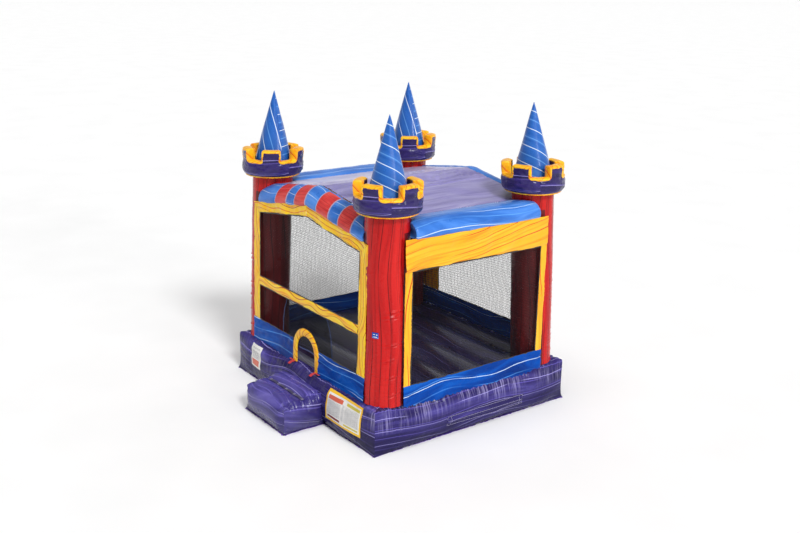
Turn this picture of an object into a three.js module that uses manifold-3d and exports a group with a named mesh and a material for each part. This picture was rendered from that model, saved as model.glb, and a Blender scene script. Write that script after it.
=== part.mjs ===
// Inflatable castle bounce house: a blown-up base, four corner towers, air beams, netted walls and a roof.
// Millimetres, +Z up, +X to the right of someone who faces the door, the door wall towards -Y.
// The origin is the centre of the base's underside. Air chambers are thin skins with real air ports,
// so that the solids have the volume of sewn vinyl and not of the air in it.

import * as THREE from 'three';
import { mergeVertices } from 'three/addons/utils/BufferGeometryUtils.js';
import Module from 'manifold-3d';

const wasm = await Module();
wasm.setup();

// ---- Driving dimensions ----

const GAP = 0.3; // clearance between pieces that touch
const SKIN = 15; // wall of an air chamber, coated vinyl with its seam allowance
const PUFF_SEGMENTS = [6, 6, 4];
const PANEL = 8; // sewn wall panels: frames, bands and nets
const PATCH = 3; // labels, straps and tapes
const PATCH_STAND_OFF = 1;
const LABEL_PROUD = 8; // how far a label's face stands off the swollen side

const BASE = { halfX: 1980, halfY: 1812, height: 674, bulge: 70, skin: 20 };
const BAFFLE = { pitch: 680, thickness: 6, length: 3400, clearance: 2 };
const STEP = { centreX: 120, halfX: 560, frontY: -2502, frontTop: 430, backTop: 500, bulge: 30 };
const STEP_STRAP = { fromX: -295, loops: 4, pitch: 229, foot: 44, rise: 30, width: 44, thickness: 4, y: -2166 };

const TOWER = { x: 1645, y: 1415, radius: 313, topRadius: 319, lean: 0.027, roundness: 24, portRadius: 100 };
const CROWN = {
  bottom: 2697, // above the base's top
  height: 407,
  crenelFloor: 239,
  bottomRadius: 454,
  topRadius: 472,
  innerRadius: 322,
  portRadius: 60,
  merlons: 5,
};
const CONE = { floorRadius: 250, hipRadius: 292, hipHeight: 110, crenelRadius: 280, apex: 1298, tipDepth: 60 };
// World angle of the centre of one crenel on each tower, in degrees.
const TOWERS = [
  { name: 'left_front', sx: -1, sy: -1, crenel: 2.5 },
  { name: 'right_front', sx: 1, sy: -1, crenel: -30 },
  { name: 'right_back', sx: 1, sy: 1, crenel: -30 },
  { name: 'left_back', sx: -1, sy: 1, crenel: 2.5 },
];

// Heights on the walls are above the base's top.
const FRONT = {
  halfWidth: 1590,
  cornerTop: 2265,
  peak: 2509,
  windowHalf: 1405,
  windowCorner: 2129,
  windowPeak: 2343,
  railTop: 1077,
  railBottom: 938,
  bandTop: 351,
};
const BACK = { windowHalf: 1090, bandTop: 306 };
const SIDE = { face: 1960, halfWidth: 1316, windowHalf: 1201, headerTop: 2361, headerBottom: 1913, bandTop: 246 };
const DOOR = { x: 30, outer: 370, inner: 250, springing: 228 };
const DOOR_TAB = { width: 60, length: 70 };
const FLAP = { halfWidth: 720, hingeZ: 1600, bottomZ: 900, y: -1690, thickness: 4, hemRadius: 7 };

const ROOF = { ridge: 3442, slope: 0.153, eaveX: 1455, halfY: 1372, thickness: 8 };
const ARCH = { frontY: 1672, backY: 1376, bottom: 3190, top: 3450, halfLength: 1450 };
const SIDE_BEAM = { outerX: 1966, innerX: 1460, bottom: 3042, top: 3262, innerTop: 3205, halfLength: 1240 };

const ZIP = {
  fromY: -540,
  toY: 875,
  z: 230,
  halfHeight: 30,
  x: 2050,
  coverFromY: -570,
  coverToY: 905,
  coverTop: 310,
  coverBottom: 150,
  coverX: 2061,
  sliderThickness: 6,
  sliderLength: 40,
};
const INLET = { x: 1150, z: 300, radius: 120, wall: 6, endY: 2180, strapY: 2090, strapWidth: 34 };
const ANCHOR = { x: 1500, z: 150, wire: 4.5, halfWidth: 32, drop: 44, tabWidth: 48, tabHeight: 110, offset: 54 };
const RULES = { fromX: 830, toX: 1690, bottom: 180, top: 640 };
const INFO = { fromX: -1480, toX: -1150, bottom: 240, top: 620 };

// The door wall and the back wall lie against the columns, which lean inwards and flare a little.
const WALL_LEAN = TOWER.lean - (TOWER.topRadius - TOWER.radius) / CROWN.bottom;
const WALL_DISTANCE = TOWER.y + TOWER.radius + GAP;

// ---- Materials ----

function vinyl(color) {
  return new THREE.MeshStandardMaterial({ color, roughness: 0.42, metalness: 0 });
}
function cloth(color, roughness = 0.85) {
  return new THREE.MeshStandardMaterial({ color, roughness, metalness: 0 });
}
const LOOK = {
  purple: vinyl(0x3d2f7e),
  red: vinyl(0xd5312c),
  blue: vinyl(0x1659b8),
  coneBlue: vinyl(0x3b6fc9),
  yellow: vinyl(0xf6b81f),
  redTab: vinyl(0xc8202a),
  net: cloth(0x23242a),
  webbing: cloth(0x2b2546),
  label: cloth(0xf1efe9, 0.6),
  zipTape: cloth(0x2a2350),
  steel: new THREE.MeshStandardMaterial({ color: 0xb9bcc0, roughness: 0.3, metalness: 1 }),
};

const group = new THREE.Group();

function place(name, geometry, look, parent = group) {
  const mesh = new THREE.Mesh(geometry, look);
  mesh.name = name;
  parent.add(mesh);
  return mesh;
}

// ---- Booleans ----

function toSolid(geometry) {
  const bare = geometry.clone();
  bare.deleteAttribute('normal');
  bare.deleteAttribute('uv');
  const merged = mergeVertices(bare, 1e-3);
  return new wasm.Manifold(new wasm.Mesh({
    numProp: 3,
    vertProperties: new Float32Array(merged.attributes.position.array),
    triVerts: new Uint32Array(merged.index.array),
  }));
}

function toGeometry(solid) {
  const mesh = solid.getMesh();
  const geometry = new THREE.BufferGeometry();
  geometry.setAttribute('position', new THREE.BufferAttribute(new Float32Array(mesh.vertProperties), 3));
  geometry.setIndex(new THREE.BufferAttribute(new Uint32Array(mesh.triVerts), 1));
  return geometry;
}

function cut(geometry, tools) {
  return toGeometry(tools.reduce((solid, tool) => solid.subtract(toSolid(tool)), toSolid(geometry)));
}

function join(geometries) {
  return toGeometry(geometries.map(toSolid).reduce((solid, other) => solid.add(other)));
}

// ---- Shapes ----

function moveVertices(geometry, move) {
  const position = geometry.attributes.position;
  const point = new THREE.Vector3();
  for (let index = 0; index < position.count; index += 1) {
    point.fromBufferAttribute(position, index);
    move(point);
    position.setXYZ(index, point.x, point.y, point.z);
  }
  return geometry;
}

// How far a blown-up side stands out: nothing at its corners and edges, all of it in the middle.
function swell(along, up) {
  return (1 - along ** 4) * (1 - up ** 2);
}

// A box whose four sides swell. grow makes it larger all round.
function puffedBox(low, high, bulge, grow = 0) {
  const half = high.clone().sub(low).multiplyScalar(0.5).addScalar(grow);
  const centre = high.clone().add(low).multiplyScalar(0.5);
  const box = new THREE.BoxGeometry(2 * half.x, 2 * half.y, 2 * half.z, ...PUFF_SEGMENTS);
  moveVertices(box, (point) => {
    const x = point.x / half.x;
    const y = point.y / half.y;
    const z = point.z / half.z;
    point.x += bulge * x * swell(y, z);
    point.y += bulge * y * swell(x, z);
  });
  return box.translate(centre.x, centre.y, centre.z);
}

function block(lowX, highX, lowY, highY, lowZ, highZ) {
  return new THREE.BoxGeometry(highX - lowX, highY - lowY, highZ - lowZ)
    .translate((lowX + highX) / 2, (lowY + highY) / 2, (lowZ + highZ) / 2);
}

// A plate in a wall: the outline is in the wall's plane, its inner face on y = 0 and its outer at -thickness.
function plate(outline, thickness = PANEL) {
  return new THREE.ExtrudeGeometry(outline, { depth: thickness, bevelEnabled: false, curveSegments: 16 })
    .rotateX(Math.PI / 2);
}

function outlineOf(points) {
  return new THREE.Shape(points.map(([x, y]) => new THREE.Vector2(x, y)));
}

function rectangle(lowX, highX, lowY, highY) {
  return outlineOf([[lowX, lowY], [highX, lowY], [highX, highY], [lowX, highY]]);
}

function lathe(points, segments = TOWER.roundness) {
  const profile = points.map(([radius, height]) => new THREE.Vector2(radius, height));
  return new THREE.LatheGeometry(profile, segments).rotateX(Math.PI / 2);
}

function barAlongY(radius, length) {
  return new THREE.CylinderGeometry(radius, radius, length, 24);
}

// ---- Base ----

const baseLow = new THREE.Vector3(-BASE.halfX, -BASE.halfY, 0);
const baseHigh = new THREE.Vector3(BASE.halfX, BASE.halfY, BASE.height);
const baseTop = BASE.height + GAP;
const baseClearance = puffedBox(baseLow, baseHigh, BASE.bulge, GAP);

function frontSwell(x, z) {
  return BASE.bulge * swell(x / BASE.halfX, (2 * z) / BASE.height - 1);
}

function airPort(x, y, z, radius, alongY = false) {
  const port = barAlongY(radius, 6 * BASE.skin);
  if (!alongY) port.rotateX(Math.PI / 2);
  return port.translate(x, y, z);
}

function buildBase() {
  const outer = puffedBox(baseLow, baseHigh, BASE.bulge);
  const air = puffedBox(baseLow, baseHigh, BASE.bulge, -BASE.skin);
  const towerPorts = TOWERS.map(({ sx, sy }) => (
    airPort(sx * TOWER.x, sy * TOWER.y, BASE.height, TOWER.portRadius)
  ));
  const stepPort = airPort(STEP.centreX, -BASE.halfY - BASE.bulge / 2, STEP.frontTop / 2, TOWER.portRadius, true);
  const inlet = barAlongY(INLET.radius, 12 * BASE.skin).translate(INLET.x, BASE.halfY, INLET.z);
  place('base_skin', cut(outer, [air, ...towerPorts, stepPort, inlet]), LOOK.purple);

  const low = BASE.skin + BAFFLE.clearance;
  const high = BASE.height - BASE.skin - BAFFLE.clearance;
  for (let number = 1; number <= 5; number += 1) {
    const y = (number - 3) * BAFFLE.pitch;
    const web = block(
      -BAFFLE.length / 2, BAFFLE.length / 2, y - BAFFLE.thickness / 2, y + BAFFLE.thickness / 2, low, high,
    );
    place(`base_baffle_${number}`, web, LOOK.purple);
  }
}

// ---- Step ----

function slopedStep(grow) {
  const low = new THREE.Vector3(STEP.centreX - STEP.halfX, STEP.frontY, 0);
  const high = new THREE.Vector3(STEP.centreX + STEP.halfX, -BASE.halfY + BASE.bulge, STEP.frontTop);
  const box = puffedBox(low, high, STEP.bulge, grow);
  const run = -BASE.halfY - STEP.frontY;
  const rise = STEP.backTop / STEP.frontTop - 1;
  return moveVertices(box, (point) => {
    point.z *= 1 + (rise * (point.y - STEP.frontY)) / run;
  });
}

function buildStep() {
  const air = slopedStep(-SKIN).translate(0, SKIN, 0);
  const mouth = block(
    STEP.centreX - STEP.halfX + SKIN, STEP.centreX + STEP.halfX - SKIN,
    -BASE.halfY - BASE.bulge, 0, SKIN, STEP.frontTop - SKIN,
  );
  place('step_skin', cut(slopedStep(0), [baseClearance, air, mouth]), LOOK.purple);

  // A webbing strap stitched down at its feet and standing in loops between them.
  const { fromX, loops, pitch, foot, rise, thickness } = STEP_STRAP;
  const outline = new THREE.Shape();
  outline.moveTo(fromX, 0);
  for (let loop = 0; loop < loops; loop += 1) {
    const start = fromX + loop * pitch + foot;
    const middle = start + (pitch - foot) / 2;
    outline.lineTo(start, 0);
    outline.quadraticCurveTo(middle, 2 * (rise - thickness), fromX + (loop + 1) * pitch, 0);
  }
  const end = fromX + loops * pitch + foot;
  outline.lineTo(end, 0);
  outline.lineTo(end, thickness);
  for (let loop = loops - 1; loop >= 0; loop -= 1) {
    const start = fromX + loop * pitch + foot;
    const middle = start + (pitch - foot) / 2;
    outline.lineTo(fromX + (loop + 1) * pitch, thickness);
    outline.quadraticCurveTo(middle, 2 * rise, start, thickness);
  }
  outline.lineTo(fromX, thickness);
  const strap = new THREE.ExtrudeGeometry(outline, {
    depth: STEP_STRAP.width, bevelEnabled: false, curveSegments: 8,
  });
  strap.rotateX(Math.PI / 2).translate(0, STEP_STRAP.width / 2, 0);
  const run = -BASE.halfY - STEP.frontY;
  const climb = (STEP.backTop - STEP.frontTop) / run;
  const mesh = place('step_strap', strap, LOOK.webbing);
  mesh.rotation.x = Math.atan(climb);
  mesh.position.set(0, STEP_STRAP.y, STEP.frontTop + climb * (STEP_STRAP.y - STEP.frontY) + PATCH_STAND_OFF);
}

// ---- Towers ----

// Leans a tower piece inwards and stands it on the base. Heights in the piece are above the base's top.
function stand(geometry, { sx, sy }) {
  return moveVertices(geometry.clone(), (point) => {
    point.x += sx * (TOWER.x - TOWER.lean * point.z);
    point.y += sy * (TOWER.y - TOWER.lean * point.z);
    point.z += baseTop;
  });
}

function columnOutline(grow) {
  const top = CROWN.bottom - GAP;
  return lathe([[0, -grow], [TOWER.radius + grow, -grow], [TOWER.topRadius + grow, top], [0, top]]);
}

const columnClearances = TOWERS.map((tower) => stand(columnOutline(GAP), tower));

function buildColumn() {
  const top = CROWN.bottom - GAP;
  return lathe([
    [0, top - SKIN],
    [TOWER.topRadius - SKIN, top - SKIN],
    [TOWER.radius - SKIN, 0],
    [TOWER.radius, 0],
    [TOWER.topRadius, top],
    [0, top],
  ]);
}

// Wedges that cut the crenels, one crenel centred on the angle given in degrees.
function crenelWedges(centreAngle) {
  const reach = 2 * CROWN.topRadius;
  const pitch = (2 * Math.PI) / CROWN.merlons;
  const wedges = [];
  for (let crenel = 0; crenel < CROWN.merlons; crenel += 1) {
    const angle = THREE.MathUtils.degToRad(centreAngle) + crenel * pitch;
    const corner = (turn) => [reach * Math.cos(angle + turn), reach * Math.sin(angle + turn)];
    const wedge = new THREE.ExtrudeGeometry(
      outlineOf([[0, 0], corner(-pitch / 4), corner(pitch / 4)]),
      { depth: CROWN.height, bevelEnabled: false },
    );
    wedges.push(wedge.translate(0, 0, CROWN.bottom + CROWN.crenelFloor));
  }
  return wedges;
}

function crownRadius(height) {
  return CROWN.bottomRadius + ((CROWN.topRadius - CROWN.bottomRadius) * height) / CROWN.height;
}

function buildCrownWall(wedges) {
  const ring = lathe([
    [crownRadius(0) - SKIN, CROWN.bottom],
    [crownRadius(0), CROWN.bottom],
    [crownRadius(CROWN.height), CROWN.bottom + CROWN.height],
    [crownRadius(CROWN.height) - SKIN, CROWN.bottom + CROWN.height],
    [crownRadius(0) - SKIN, CROWN.bottom],
  ]);
  return cut(ring, wedges);
}

// The floor, inner wall and top of the crown's ring, open on the outside, where the wall closes it.
function buildCrownLining(wedges) {
  const rim = (height) => crownRadius(height) - SKIN - GAP;
  const shelf = CROWN.crenelFloor - SKIN;
  const profile = [
    [CROWN.portRadius, 0],
    [rim(0), 0],
    [rim(SKIN), SKIN],
    [CROWN.innerRadius + SKIN, SKIN],
    [CROWN.innerRadius + SKIN, shelf],
    [rim(shelf), shelf],
    [rim(CROWN.height), CROWN.height],
    [CROWN.innerRadius, CROWN.height],
    [CROWN.innerRadius, SKIN],
    [CROWN.portRadius, SKIN],
    [CROWN.portRadius, 0],
  ];
  return cut(lathe(profile.map(([radius, height]) => [radius, height + CROWN.bottom])), wedges);
}

function buildCone() {
  const floor = SKIN + GAP;
  const profile = [
    [0, CONE.apex],
    [CONE.crenelRadius, CROWN.crenelFloor],
    [CONE.hipRadius, CONE.hipHeight],
    [CONE.floorRadius, floor],
    [CONE.floorRadius - SKIN, floor],
    [CONE.hipRadius - SKIN, CONE.hipHeight],
    [CONE.crenelRadius - SKIN, CROWN.crenelFloor],
    [0, CONE.apex - CONE.tipDepth],
  ];
  return lathe(profile.reverse().map(([radius, height]) => [radius, height + CROWN.bottom]));
}

function buildTowers() {
  for (const tower of TOWERS) {
    const wedges = crenelWedges(tower.crenel);
    place(`column_${tower.name}`, stand(buildColumn(), tower), LOOK.red);
    place(`crown_wall_${tower.name}`, stand(buildCrownWall(wedges), tower), LOOK.purple);
    place(`crown_lining_${tower.name}`, stand(buildCrownLining(wedges), tower), LOOK.yellow);
    place(`turret_cone_${tower.name}`, stand(buildCone(), tower), LOOK.coneBlue);
  }
}

// ---- Walls ----

// A wall's own frame: x to the right seen from outside, z up from the base's top, outside towards -y.
function wall(turn, distance, lean = 0) {
  const turned = new THREE.Group();
  turned.rotation.z = turn;
  const standing = new THREE.Group();
  standing.position.set(0, -distance, baseTop);
  standing.rotation.x = -Math.atan(lean);
  turned.add(standing);
  group.add(turned);
  return standing;
}

function gable(halfWidth, bottom, corner, peak) {
  return [[-halfWidth, bottom], [halfWidth, bottom], [halfWidth, corner], [0, peak], [-halfWidth, corner]];
}

function buildFrontWall() {
  const front = wall(0, WALL_DISTANCE, WALL_LEAN);
  const { halfWidth, windowHalf, bandTop } = FRONT;
  const frame = outlineOf([
    [-halfWidth, bandTop + GAP],
    [-windowHalf, bandTop + GAP],
    [-windowHalf, FRONT.railBottom],
    [windowHalf, FRONT.railBottom],
    [windowHalf, bandTop + GAP],
    [halfWidth, bandTop + GAP],
    [halfWidth, FRONT.cornerTop],
    [0, FRONT.peak],
    [-halfWidth, FRONT.cornerTop],
  ]);
  const window = gable(windowHalf, FRONT.railTop, FRONT.windowCorner, FRONT.windowPeak);
  frame.holes.push(outlineOf(window.reverse()));
  place('front_frame', plate(frame), LOOK.yellow, front);

  const upper = gable(windowHalf - GAP, FRONT.railTop + GAP, FRONT.windowCorner - GAP, FRONT.windowPeak - GAP);
  place('net_front_upper', plate(outlineOf(upper)), LOOK.net, front);

  // The lower net runs from the band to the rail and goes round the door's arch.
  const reach = DOOR.outer + GAP;
  const low = bandTop + GAP;
  const spread = Math.sqrt(reach ** 2 - (low - DOOR.springing) ** 2);
  const start = Math.atan2(low - DOOR.springing, -spread);
  const lower = new THREE.Shape();
  lower.moveTo(-windowHalf + GAP, low);
  lower.lineTo(DOOR.x - spread, low);
  lower.absarc(DOOR.x, DOOR.springing, reach, start, Math.PI - start, true);
  lower.lineTo(windowHalf - GAP, low);
  lower.lineTo(windowHalf - GAP, FRONT.railBottom - GAP);
  lower.lineTo(-windowHalf + GAP, FRONT.railBottom - GAP);
  place('net_front_lower', plate(lower), LOOK.net, front);

  place('band_front_left', plate(rectangle(-halfWidth, DOOR.x - reach, 0, bandTop)), LOOK.blue, front);
  place('band_front_right', plate(rectangle(DOOR.x + reach, halfWidth, 0, bandTop)), LOOK.blue, front);

  const trim = new THREE.Shape();
  trim.moveTo(DOOR.x - DOOR.outer, 0);
  trim.lineTo(DOOR.x - DOOR.inner, 0);
  trim.absarc(DOOR.x, DOOR.springing, DOOR.inner, Math.PI, 0, true);
  trim.lineTo(DOOR.x + DOOR.inner, 0);
  trim.lineTo(DOOR.x + DOOR.outer, 0);
  trim.absarc(DOOR.x, DOOR.springing, DOOR.outer, 0, Math.PI, false);
  place('door_trim', plate(trim), LOOK.yellow, front);

  // Red tabs sewn to the ledge of the base at the feet of the trim.
  for (const [side, name] of [[-1, 'left'], [1, 'right']]) {
    const x = DOOR.x + (side * (DOOR.outer + DOOR.inner)) / 2;
    const tab = block(
      x - DOOR_TAB.width / 2, x + DOOR_TAB.width / 2,
      -BASE.halfY, -BASE.halfY + DOOR_TAB.length, baseTop, baseTop + PATCH,
    );
    place(`door_tab_${name}`, tab, LOOK.redTab);
  }
}

function buildBackWall() {
  const back = wall(Math.PI, WALL_DISTANCE, WALL_LEAN);
  const { halfWidth } = FRONT;
  const low = BACK.bandTop + GAP;
  const frame = outlineOf(gable(halfWidth, low, FRONT.cornerTop, FRONT.peak));
  const sill = low + SKIN;
  const window = gable(BACK.windowHalf, sill, FRONT.windowCorner, FRONT.windowPeak);
  frame.holes.push(outlineOf(window.reverse()));
  place('back_frame', plate(frame), LOOK.yellow, back);
  const net = gable(BACK.windowHalf - GAP, sill + GAP, FRONT.windowCorner - GAP, FRONT.windowPeak - GAP);
  place('net_back', plate(outlineOf(net)), LOOK.net, back);
  place('band_back', plate(rectangle(-halfWidth, halfWidth, 0, BACK.bandTop)), LOOK.blue, back);
}

function buildSideWall(name, turn) {
  const side = wall(turn, SIDE.face);
  const { halfWidth, windowHalf, headerTop, headerBottom, bandTop } = SIDE;
  const frame = outlineOf([
    [-halfWidth, bandTop + GAP],
    [-windowHalf, bandTop + GAP],
    [-windowHalf, headerBottom],
    [windowHalf, headerBottom],
    [windowHalf, bandTop + GAP],
    [halfWidth, bandTop + GAP],
    [halfWidth, headerTop],
    [-halfWidth, headerTop],
  ]);
  place(`${name}_frame`, plate(frame), LOOK.yellow, side);
  const net = rectangle(-windowHalf + GAP, windowHalf - GAP, bandTop + GAP, headerBottom - GAP);
  place(`net_${name}`, plate(net), LOOK.net, side);
  place(`band_${name}`, plate(rectangle(-halfWidth, halfWidth, 0, bandTop)), LOOK.blue, side);
}

// The loose net curtain behind the doorway, hung from a hem under the rail.
function buildDoorFlap() {
  const curtain = block(
    -FLAP.halfWidth, FLAP.halfWidth, FLAP.y - FLAP.thickness / 2, FLAP.y + FLAP.thickness / 2,
    FLAP.bottomZ, FLAP.hingeZ,
  );
  const hem = new THREE.CylinderGeometry(FLAP.hemRadius, FLAP.hemRadius, 2 * FLAP.halfWidth, 12)
    .rotateZ(Math.PI / 2)
    .translate(0, FLAP.y, FLAP.hingeZ);
  place('door_flap', join([curtain, hem]), LOOK.net);
}

// ---- Beams and roof ----

// A beam over the front or back wall: a tube with a round outer shoulder, which falls from the middle to its ends.
function buildArchBeam(name, sy) {
  const ring = (inset) => {
    const front = -ARCH.frontY + inset;
    const back = -ARCH.backY - inset;
    const low = ARCH.bottom + inset;
    const high = ARCH.top - inset;
    const outline = new THREE.Shape();
    outline.moveTo(back, low);
    outline.lineTo(front, low);
    outline.quadraticCurveTo(front, high, (front + back) / 2, high);
    outline.lineTo(back, high);
    return outline;
  };
  const section = ring(0);
  section.holes.push(new THREE.Path(ring(SKIN).getPoints(6).reverse()));
  const beam = new THREE.ExtrudeGeometry(section, {
    depth: 2 * ARCH.halfLength, steps: 2, bevelEnabled: false, curveSegments: 6,
  });
  // The section's own x and y are the row's y and z, and the depth runs along the row's x.
  const turn = new THREE.Matrix4().makeBasis(
    new THREE.Vector3(0, 1, 0), new THREE.Vector3(0, 0, 1), new THREE.Vector3(1, 0, 0),
  );
  beam.applyMatrix4(turn).translate(-ARCH.halfLength, 0, 0);
  moveVertices(beam, (point) => {
    point.z -= ROOF.slope * Math.abs(point.x);
  });
  if (sy > 0) beam.rotateZ(Math.PI);
  place(name, cut(beam, columnClearances), LOOK.blue);
}

function buildSideBeam(name, sx) {
  const ring = (inset) => {
    const outer = SIDE_BEAM.outerX - inset;
    const inner = SIDE_BEAM.innerX + inset;
    const low = SIDE_BEAM.bottom + inset;
    const high = SIDE_BEAM.top - inset;
    const outline = new THREE.Shape();
    outline.moveTo(inner, low);
    outline.lineTo(outer, low);
    outline.quadraticCurveTo(outer, high, (outer + inner) / 2 - inset, high);
    outline.lineTo(inner, SIDE_BEAM.innerTop - inset);
    return outline;
  };
  const section = ring(0);
  section.holes.push(new THREE.Path(ring(SKIN).getPoints(6).reverse()));
  const beam = new THREE.ExtrudeGeometry(section, {
    depth: 2 * SIDE_BEAM.halfLength, bevelEnabled: false, curveSegments: 6,
  });
  beam.rotateX(Math.PI / 2).translate(0, SIDE_BEAM.halfLength, 0);
  if (sx < 0) beam.rotateZ(Math.PI);
  place(name, cut(beam, columnClearances), LOOK.blue);
}

function buildRoof() {
  for (const [sx, name] of [[-1, 'left'], [1, 'right']]) {
    const ridge = ROOF.ridge;
    const eave = ROOF.ridge - ROOF.slope * ROOF.eaveX;
    const near = sx * GAP;
    const far = sx * ROOF.eaveX;
    const points = [
      [near, ridge], [far, eave], [far, eave - ROOF.thickness], [near, ridge - ROOF.thickness],
    ];
    if (sx > 0) points.reverse();
    const sheet = new THREE.ExtrudeGeometry(outlineOf(points), { depth: 2 * ROOF.halfY, bevelEnabled: false });
    sheet.rotateX(Math.PI / 2).translate(0, ROOF.halfY, 0);
    place(`roof_${name}`, cut(sheet, columnClearances), LOOK.purple);
  }
}

// ---- Deflation zip, on the right side of the base ----

function buildZip() {
  place('zip_tape', block(
    ZIP.x, ZIP.x + PATCH, ZIP.fromY, ZIP.toY, ZIP.z - ZIP.halfHeight, ZIP.z + ZIP.halfHeight,
  ), LOOK.zipTape);

  const inner = ZIP.x + PATCH + GAP;
  const length = ZIP.sliderLength;
  const runner = block(inner, inner + ZIP.sliderThickness, 0, length, -length / 4, length / 4);
  const pull = block(
    inner + ZIP.sliderThickness / 3, inner + (2 * ZIP.sliderThickness) / 3,
    -length / 2, length / 2, -length / 8, length / 8,
  );
  place('zip_slider', join([runner, pull]).translate(0, ZIP.fromY + length, ZIP.z), LOOK.steel);

  place('zip_cover', block(
    ZIP.coverX, ZIP.coverX + PATCH, ZIP.coverFromY, ZIP.coverToY, ZIP.coverBottom, ZIP.coverTop,
  ), LOOK.purple);
}

// ---- Air inlet and anchors, on the back of the base ----

function tubeAlongY(outer, wallThickness, fromY, toY) {
  const profile = [
    [outer - wallThickness, fromY],
    [outer, fromY],
    [outer, toY],
    [outer - wallThickness, toY],
    [outer - wallThickness, fromY],
  ];
  const points = profile.map(([radius, y]) => new THREE.Vector2(radius, y));
  return new THREE.LatheGeometry(points, 24).translate(INLET.x, 0, INLET.z);
}

function buildInlet() {
  const sleeve = tubeAlongY(INLET.radius, INLET.wall, BASE.halfY, INLET.endY);
  place('inlet_sleeve', cut(sleeve, [baseClearance]), LOOK.purple);
  const strap = tubeAlongY(
    INLET.radius + GAP + PATCH, PATCH, INLET.strapY, INLET.strapY + INLET.strapWidth,
  );
  place('inlet_strap', strap, LOOK.webbing);
}

class RingBow extends THREE.Curve {
  // The bow of a D-shaped ring, from one end of its bar round to the other, in the plane of x and z.
  getPoint(t, target = new THREE.Vector3()) {
    const angle = Math.PI * t;
    return target.set(-ANCHOR.halfWidth * Math.cos(angle), 0, -ANCHOR.drop * Math.sin(angle));
  }
}

function circle(radius, segments) {
  const points = [];
  for (let index = 0; index < segments; index += 1) {
    const angle = (2 * Math.PI * index) / segments;
    points.push([radius * Math.cos(angle), radius * Math.sin(angle)]);
  }
  return outlineOf(points);
}

function buildAnchor(name, x) {
  const y = BASE.halfY + ANCHOR.offset;
  const bow = new THREE.ExtrudeGeometry(circle(ANCHOR.wire, 8), {
    steps: 10, bevelEnabled: false, extrudePath: new RingBow(),
  });
  const bar = new THREE.CylinderGeometry(ANCHOR.wire, ANCHOR.wire, 2 * (ANCHOR.halfWidth + ANCHOR.wire), 8)
    .rotateZ(Math.PI / 2);
  place(`anchor_ring_${name}`, join([bow, bar]).translate(x, y, ANCHOR.z), LOOK.steel);

  // The webbing is folded round the bar of the ring and sewn to the base above it.
  const eyeOuter = ANCHOR.wire + 1 + PATCH;
  const eye = new THREE.CylinderGeometry(eyeOuter, eyeOuter, ANCHOR.tabWidth, 20).rotateZ(Math.PI / 2);
  const tongue = block(
    -ANCHOR.tabWidth / 2, ANCHOR.tabWidth / 2, -eyeOuter, -eyeOuter + 2 * PATCH, 0, ANCHOR.tabHeight,
  );
  const hole = new THREE.CylinderGeometry(ANCHOR.wire + 1, ANCHOR.wire + 1, 2 * ANCHOR.tabWidth, 20)
    .rotateZ(Math.PI / 2);
  const tab = cut(join([eye, tongue]), [hole]).translate(x, y, ANCHOR.z);
  place(`anchor_tab_${name}`, cut(tab, [baseClearance]), LOOK.webbing);
}

// ---- Labels on the front of the base ----

function buildBaseLabel(name, { fromX, toX, bottom, top }) {
  const depth = 2 * LABEL_PROUD;
  const label = new THREE.BoxGeometry(toX - fromX, depth, top - bottom, 6, 1, 6);
  label.translate((fromX + toX) / 2, -BASE.halfY, (bottom + top) / 2);
  moveVertices(label, (point) => {
    point.y -= frontSwell(point.x, point.z);
  });
  place(name, cut(label, [baseClearance]), LOOK.label);
}

buildBase();
buildStep();
buildTowers();
buildFrontWall();
buildBackWall();
buildSideWall('right', Math.PI / 2);
buildSideWall('left', -Math.PI / 2);
buildDoorFlap();
buildArchBeam('beam_front', -1);
buildArchBeam('beam_back', 1);
buildSideBeam('beam_right', 1);
buildSideBeam('beam_left', -1);
buildRoof();
buildZip();
buildInlet();
buildAnchor('left', -ANCHOR.x);
buildAnchor('right', ANCHOR.x);
buildBaseLabel('rules_panel', RULES);
buildBaseLabel('info_label', INFO);

export default group;
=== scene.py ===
"""The looks of an inflatable play castle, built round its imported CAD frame. Metres, +Z up.

Every chamber is a puffed cloth shell, every wall a sewn panel, and every net a single sheet.
UVs are in metres: u runs along the flow of a printed pattern, and v across it.
"""

import math

import bmesh
import bpy
import numpy as np
from mathutils import Matrix, Vector
from mathutils.bvhtree import BVHTree


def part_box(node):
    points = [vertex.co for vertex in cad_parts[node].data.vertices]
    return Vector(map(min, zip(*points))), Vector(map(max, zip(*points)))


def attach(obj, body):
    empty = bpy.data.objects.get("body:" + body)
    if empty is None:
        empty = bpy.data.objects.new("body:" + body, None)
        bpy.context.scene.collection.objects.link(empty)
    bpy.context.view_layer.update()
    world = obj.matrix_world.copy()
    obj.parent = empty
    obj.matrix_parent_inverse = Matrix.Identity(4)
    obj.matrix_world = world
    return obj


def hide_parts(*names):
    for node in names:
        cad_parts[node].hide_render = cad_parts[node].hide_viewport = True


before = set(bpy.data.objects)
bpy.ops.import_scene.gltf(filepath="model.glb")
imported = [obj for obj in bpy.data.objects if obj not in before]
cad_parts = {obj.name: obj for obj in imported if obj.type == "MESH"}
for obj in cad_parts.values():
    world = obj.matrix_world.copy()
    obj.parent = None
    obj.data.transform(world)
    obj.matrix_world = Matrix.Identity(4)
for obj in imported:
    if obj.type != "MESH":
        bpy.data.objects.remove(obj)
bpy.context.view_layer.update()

# ---- Sizes ----

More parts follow.
